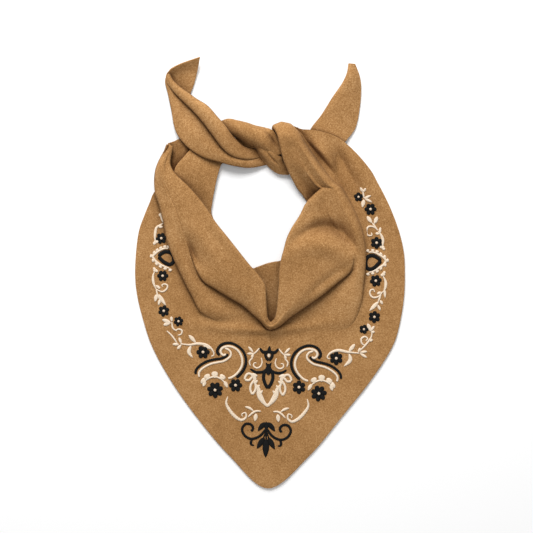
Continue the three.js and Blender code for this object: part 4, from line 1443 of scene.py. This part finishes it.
VINES = (
    Motif(
        "vine_left",
        Slot.CREAM,
        lines(
            LINE,
            0.62,
            [(-1.62, 2.64), (-1.61, 2.57), (-1.58, 2.5)],
            [(-1.65, 1.54), (-1.56, 1.51), (-1.5, 1.55), (-1.49, 1.6), (-1.53, 1.62), (-1.57, 1.6),
             (-1.55, 1.58)],
            [(-1.65, 1.55), (-1.63, 1.47), (-1.59, 1.39)],
            [(-1.41, 1.08), (-1.39, 0.99), (-1.33, 0.95)],
            [(-1.32, 0.89), (-1.27, 0.91), (-1.26, 0.96), (-1.31, 0.98), (-1.35, 0.96)],
            [(-1.48, 0.95), (-1.42, 0.9), (-1.36, 0.83), (-1.32, 0.77)],
        )
        + lines(
            HOOK,
            0.96,
            [(-1.58, 2.49), (-1.67, 2.43), (-1.69, 2.35), (-1.69, 2.26), (-1.67, 2.2)],
            [(-1.68, 1.8), (-1.7, 1.73), (-1.69, 1.63), (-1.65, 1.54)],
            [(-1.28, 0.77), (-1.14, 0.76), (-1.03, 0.78), (-0.89, 0.76), (-0.81, 0.69), (-0.79, 0.63),
             (-0.83, 0.6)],
        )
        + lines(
            LEAF,
            1.02,
            [(-1.64, 2.63), (-1.61, 2.58)],
            [(-1.65, 2.44), (-1.58, 2.44)],
            [(-1.59, 1.55), (-1.66, 1.6)],
            [(-1.59, 1.4), (-1.61, 1.31)],
            [(-1.42, 1.16), (-1.41, 1.08)],
            [(-1.39, 0.76), (-1.29, 0.76)],
            [(-1.32, 0.69), (-1.26, 0.76)],
            [(-1.3, 0.86), (-1.26, 0.77)],
            [(-0.95, 0.76), (-0.83, 0.71)],
        )
        + lines(
            LEAF,
            1.32,
            [(-1.64, 1.47), (-1.66, 1.36)],
            [(-1.61, 1.47), (-1.56, 1.39), (-1.5, 1.31)],
            [(-1.55, 1.11), (-1.42, 1.07)],
            [(-1.53, 1.03), (-1.42, 1.07)],
            [(-1.16, 0.9), (-1.05, 0.79)],
            [(-1.12, 0.75), (-1.15, 0.66), (-1.09, 0.57)],
        ),
        mirror=False,
    ),
    Motif(
        "vine_right",
        Slot.CREAM,
        lines(
            LINE,
            0.66,
            [(1.27, 3.04), (1.29, 2.94)],
            [(1.42, 2.6), (1.5, 2.49)],
            [(1.51, 2.49), (1.44, 2.54), (1.37, 2.54), (1.34, 2.48), (1.36, 2.42), (1.42, 2.42),
             (1.41, 2.46)],
            [(1.61, 1.62), (1.54, 1.54), (1.46, 1.53), (1.42, 1.58), (1.43, 1.63), (1.47, 1.64),
             (1.49, 1.6)],
            [(1.58, 1.57), (1.54, 1.46)],
            [(1.39, 0.83), (1.33, 0.86), (1.32, 0.93), (1.37, 0.96), (1.41, 0.93), (1.38, 0.9)],
            [(1.47, 1.04), (1.46, 0.96), (1.39, 0.85), (1.29, 0.74)],
        )
        + lines(
            HOOK,
            1.02,
            [(1.51, 2.48), (1.55, 2.43), (1.58, 2.36), (1.58, 2.28), (1.57, 2.24)],
            [(1.6, 1.84), (1.64, 1.76), (1.64, 1.68), (1.61, 1.6)],
            [(1.3, 0.72), (1.14, 0.73), (0.98, 0.75), (0.87, 0.7), (0.84, 0.64), (0.88, 0.62)],
        )
        + lines(
            LEAF,
            0.96,
            [(1.23, 3.1), (1.27, 3.03)],
            [(1.31, 3.09), (1.27, 3.03)],
            [(1.29, 2.94), (1.39, 2.99)],
            [(1.3, 2.94), (1.41, 2.89)],
            [(1.54, 2.54), (1.53, 2.44)],
            [(1.47, 2.45), (1.53, 2.44)],
            [(1.63, 1.65), (1.64, 1.52)],
            [(1.52, 1.58), (1.59, 1.61)],
            [(1.54, 1.42), (1.58, 1.34)],
            [(1.57, 1.49), (1.61, 1.43)],
            [(1.51, 1.04), (1.45, 1.02)],
            [(1.5, 1.12), (1.45, 1.04)],
            [(1.48, 0.93), (1.44, 0.89)],
            [(1.31, 0.8), (1.28, 0.73)],
            [(1.41, 0.75), (1.3, 0.73)],
            [(1.41, 0.66), (1.3, 0.72)],
        )
        + lines(
            LEAF,
            1.38,
            [(1.29, 2.93), (1.27, 2.81)],
            [(1.34, 2.69), (1.42, 2.59)],
            [(1.49, 2.69), (1.45, 2.58)],
            [(1.55, 1.47), (1.42, 1.33)],
            [(1.4, 1.15), (1.46, 1.03)],
            [(1.23, 0.85), (1.14, 0.73)],
            [(1.15, 0.71), (1.17, 0.62), (1.08, 0.52)],
        ),
        mirror=False,
    ),
)
FLOWER_ROWS = table(
    "x y size petals turn",
    [-0.805, 0.161, 0.85, 6, 10],
    [-0.795, -0.013, 0.85, 6, 0],
    [-0.787, -0.176, 0.85, 6, 20],
    [-0.678, -0.224, 0.75, 6, 15],
    [-0.496, -0.367, 1, 6, 0],
    [0.656, 0.353, 0.7, 5, 20],
    [0.745, 0.296, 0.9, 6, 0],
    [0.79, 0.14, 0.9, 6, 30],
    [0.784, -0.036, 0.9, 6, 10],
    [0.774, -0.204, 0.9, 6, 25],
    [0.696, -0.261, 0.7, 5, 0],
    [0.491, -0.396, 1, 6, 30],
    [-0.407, -0.543, 1.2, 7, 15],
    [-0.255, -0.521, 1, 6, 0],
    [0.362, -0.559, 1.2, 7, 5],
    [0.215, -0.53, 1, 6, 30],
)


@dataclass
class Flowers:
    """Black flowers of puffed petals, each with a cream knot in its middle.

    Widths and lifts are shares of a flower's radius, or of the stitches' height.
    """

    stitcher: Stitcher
    rows: Rows = FLOWER_ROWS
    radius: float = 7.84 * MILLIMETRE
    petals: int = 6
    petal_width: float = 0.7
    petal_foot: float = 0.1
    middle: float = 0.36
    middle_lift: float = 0.1 * MILLIMETRE
    seed: float = 0.24
    seed_lift: float = 1.1

    def build(self, looks: Looks) -> None:
        """Stitch the flowers, one piece each, and the knots as one piece."""
        stitcher = self.stitcher
        seeds = bmesh.new()
        for number, row in enumerate(self.rows, start=1):
            centre = stitcher.cut.at(row.x, row.y)[:2]
            radius = row.size * self.radius
            bm = bmesh.new()
            for k in range(row.petals):
                angle = math.radians(row.turn) + 2 * math.pi * k / row.petals
                self.petal(bm, centre, angle, radius, self.petal_width * self.petals / row.petals)
            stitcher.bead(bm, *centre, self.middle * radius, self.middle_lift)
            stitcher.piece(f"flower_{number}_stitches", bm, Slot.BLACK, looks, [f"flower_{number}"])
            stitcher.bead(seeds, *centre, self.seed * radius, stitcher.height * self.seed_lift)
        stitcher.piece("flower_seeds", seeds, Slot.CREAM, looks)

    def petal(
        self, bm: bmesh.types.BMesh, centre: np.ndarray, angle: float, radius: float, width: float
    ) -> None:
        """Add one petal that points away from the middle of its flower.

        Args:
            bm: The bmesh that collects the flower.
            centre: The flower's middle, in plan.
            angle: The petal's direction.
            radius: The flower's radius.
            width: The petal's width, as a share of the radius.
        """
        out = np.array([math.cos(angle), math.sin(angle)])
        start, end = centre + out * self.petal_foot * radius, centre + out * radius
        places = tuple(self.unspot(point) for point in (start, end))
        self.stitcher.lay(bm, Line(PETAL, width * radius / self.stitcher.cord, places))

    def unspot(self, point: np.ndarray) -> Place:
        """Turn a place on the kerchief into one of the pattern."""
        stitcher = self.stitcher
        away = point - stitcher.cut.at(*stitcher.centre)[:2]
        cos, sin = math.cos(stitcher.turn), math.sin(stitcher.turn)
        along, across = away[0] * cos + away[1] * sin, away[1] * cos - away[0] * sin
        return along / stitcher.half, across / stitcher.half


@dataclass
class Medallion:
    """A black ring that runs to a point, with cream scallops and two buds outside it.

    Lengths are shares of half the pattern's width, and strokes are shares of the cord's width.
    """

    stitcher: Stitcher
    end: str
    ring: tuple[Place, ...]
    scallops: tuple[Place, ...]
    buds: tuple[Place, ...]
    hole: Place
    stroke: float = 1.3
    edge_stroke: float = 0.8
    scallop_stroke: float = 1.3
    bud_stroke: float = 1.0
    bump: float = 0.045
    bump_in: float = 0.4
    bump_out: float = 0.6
    bud: float = 0.05
    bud_turns: tuple[float, ...] = (-60, 0, 60)

    def outward(self, place: Place) -> np.ndarray:
        """The direction from the middle of the ring to a place."""
        return unit(np.array(place) - np.array(self.hole))

    def build(self, looks: Looks) -> None:
        """Stitch the ring, the scalloped edge and the buds."""
        stitcher = self.stitcher
        ring = bmesh.new()
        stitcher.lay(ring, Line(CORD, self.stroke, self.ring))
        stitcher.piece(f"medallion_{self.end}_stitches", ring, Slot.BLACK, looks, [f"medallion_{self.end}"])
        edge = bmesh.new()
        feet = [np.array(place) - self.outward(place) * self.bump_in * self.bump for place in self.scallops]
        stitcher.lay(edge, Line(LINE, self.edge_stroke, tuple(tuple(foot) for foot in feet)))
        for place, foot in zip(self.scallops, feet):
            tip = np.array(place) + self.outward(place) * self.bump * self.bump_out
            stitcher.lay(edge, Line(PETAL, self.scallop_stroke, (tuple(foot), tuple(tip))))
        for place in self.buds:
            for turn in self.bud_turns:
                angle = math.radians(turn) + math.atan2(*self.outward(place)[::-1])
                tip = (place[0] + self.bud * math.cos(angle), place[1] + self.bud * math.sin(angle))
                stitcher.lay(edge, Line(PETAL, self.bud_stroke, (place, tip)))
        stitcher.piece(f"medallion_{self.end}_scallops", edge, Slot.CREAM, looks)


MEDALLIONS = (
    (
        "left",
        ((-1.633, 2.01), (-1.59, 2.058), (-1.53, 2.085), (-1.46, 2.072), (-1.418, 2.02), (-1.413, 1.95),
         (-1.46, 1.905), (-1.52, 1.918), (-1.58, 1.958), (-1.633, 2.01)),
        ((-1.49, 2.15), (-1.545, 2.15), (-1.6, 2.13), (-1.65, 2.1), (-1.69, 2.065), (-1.73, 2.015),
         (-1.7, 1.955), (-1.65, 1.91), (-1.595, 1.875), (-1.53, 1.85), (-1.46, 1.83)),
        ((-1.67, 2.2), (-1.66, 1.83)),
        (-1.52, 1.99),
    ),
    (
        "right",
        ((1.567, 2.058), (1.505, 2.102), (1.444, 2.128), (1.385, 2.115), (1.351, 2.072), (1.345, 2.01),
         (1.362, 1.953), (1.403, 1.93), (1.463, 1.949), (1.52, 2.006), (1.567, 2.058)),
        ((1.37, 2.19), (1.44, 2.195), (1.5, 2.18), (1.555, 2.15), (1.61, 2.115), (1.65, 2.065), (1.62, 2.0),
         (1.56, 1.95), (1.51, 1.91), (1.45, 1.88), (1.385, 1.865)),
        ((1.57, 2.23), (1.59, 1.88)),
        (1.43, 2.02),
    ),
)


@dataclass
class Studio:
    """A pale floor, soft light from above and a camera straight over the kerchief.

    A lamp has a name, a place, a width and a power.
    """

    centre: tuple[float, float] = (-4.0 * MILLIMETRE, 7.5 * MILLIMETRE)
    field_width: float = 613 * MILLIMETRE
    distance: float = 2.0
    clip: Place = (0.05, 20)
    lamps: tuple[tuple, ...] = (("key", (-0.35, 1.65, 1.3), 1.3, 60.0), ("fill", (0.4, -0.2, 2.0), 1.4, 5.0))
    sky: float = 0.40
    floor_size: float = 6.0
    floor_drop: float = 0.1 * MILLIMETRE
    floor_colour: Colour = (0.93, 0.93, 0.93, 1)

    def build_camera(self) -> None:
        """Look straight down, with the far edge of the kerchief at the top."""
        data = bpy.data.cameras.new("camera")
        data.angle = 2 * math.atan(self.field_width / 2 / self.distance)
        data.clip_start, data.clip_end = self.clip
        camera = bpy.data.objects.new("camera", data)
        camera.location = (*self.centre, self.distance)
        bpy.context.scene.collection.objects.link(camera)
        bpy.context.scene.camera = camera

    def build_light(self) -> None:
        """One broad lamp overhead, a little beyond the knot, a weak one in front and an even sky."""
        for name, place, size, power in self.lamps:
            data = bpy.data.lights.new(name, "AREA")
            data.shape = "DISK"
            data.size = size
            data.energy = power
            lamp = bpy.data.objects.new(name, data)
            lamp.location = place
            lamp.rotation_euler = Vector(place).to_track_quat("Z", "Y").to_euler()
            bpy.context.scene.collection.objects.link(lamp)
        world = bpy.data.worlds.new("sky")
        world.use_nodes = True
        background = world.node_tree.nodes["Background"]
        background.inputs["Color"].default_value = (1, 1, 1, 1)
        background.inputs["Strength"].default_value = self.sky
        scene = bpy.context.scene
        scene.world = world
        scene.view_settings.view_transform = "Standard"

    def build_floor(self) -> None:
        """A wide pale table top, just under the cloth."""
        material, _, surface = new_material("table_top")
        surface.inputs["Base Color"].default_value = self.floor_colour
        surface.inputs["Roughness"].default_value = 0.9
        surface.inputs["Specular IOR Level"].default_value = 0.1
        bm = bmesh.new()
        bmesh.ops.create_grid(bm, x_segments=1, y_segments=1, size=self.floor_size / 2)
        floor = mesh_object("floor", bm, material)
        floor.location.z = -self.floor_drop
        floor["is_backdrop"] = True

    def build(self) -> None:
        """Set the whole studio up."""
        self.build_camera()
        self.build_light()
        self.build_floor()


def box_of(corners: Sequence[Vector]) -> list[list[float]]:
    """A box's two corners as plain lists."""
    return [[float(value) for value in corner] for corner in corners]


def main() -> None:
    """Load the frame, set the studio up and dress the kerchief."""
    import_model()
    frame_box = box_of(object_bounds())
    Studio().build()
    looks = finishes()
    low, high = frame_box
    cut = Cut(width=high[0] - low[0], length=high[1] - low[1])
    pieces = cloth_pieces(cut)
    # Ray-cast occlusion of the folds, stored on the cloth for the wool's painted shade
    PaintedFoldShade().mark(pieces, [piece.build(looks[Slot.WOOL]) for piece in pieces])
    panel = next(piece for piece in pieces if isinstance(piece, FrontPanel))
    stitcher = Stitcher(cut, panel.bed())
    for motif in MIDDLE + VINES:
        stitcher.motif(motif, looks)
    Flowers(stitcher).build(looks)
    for places in MEDALLIONS:
        Medallion(stitcher, *places).build(looks)


if __name__ == "__main__":
    logging.basicConfig(level=logging.INFO, format="%(name)s %(message)s")
    main()
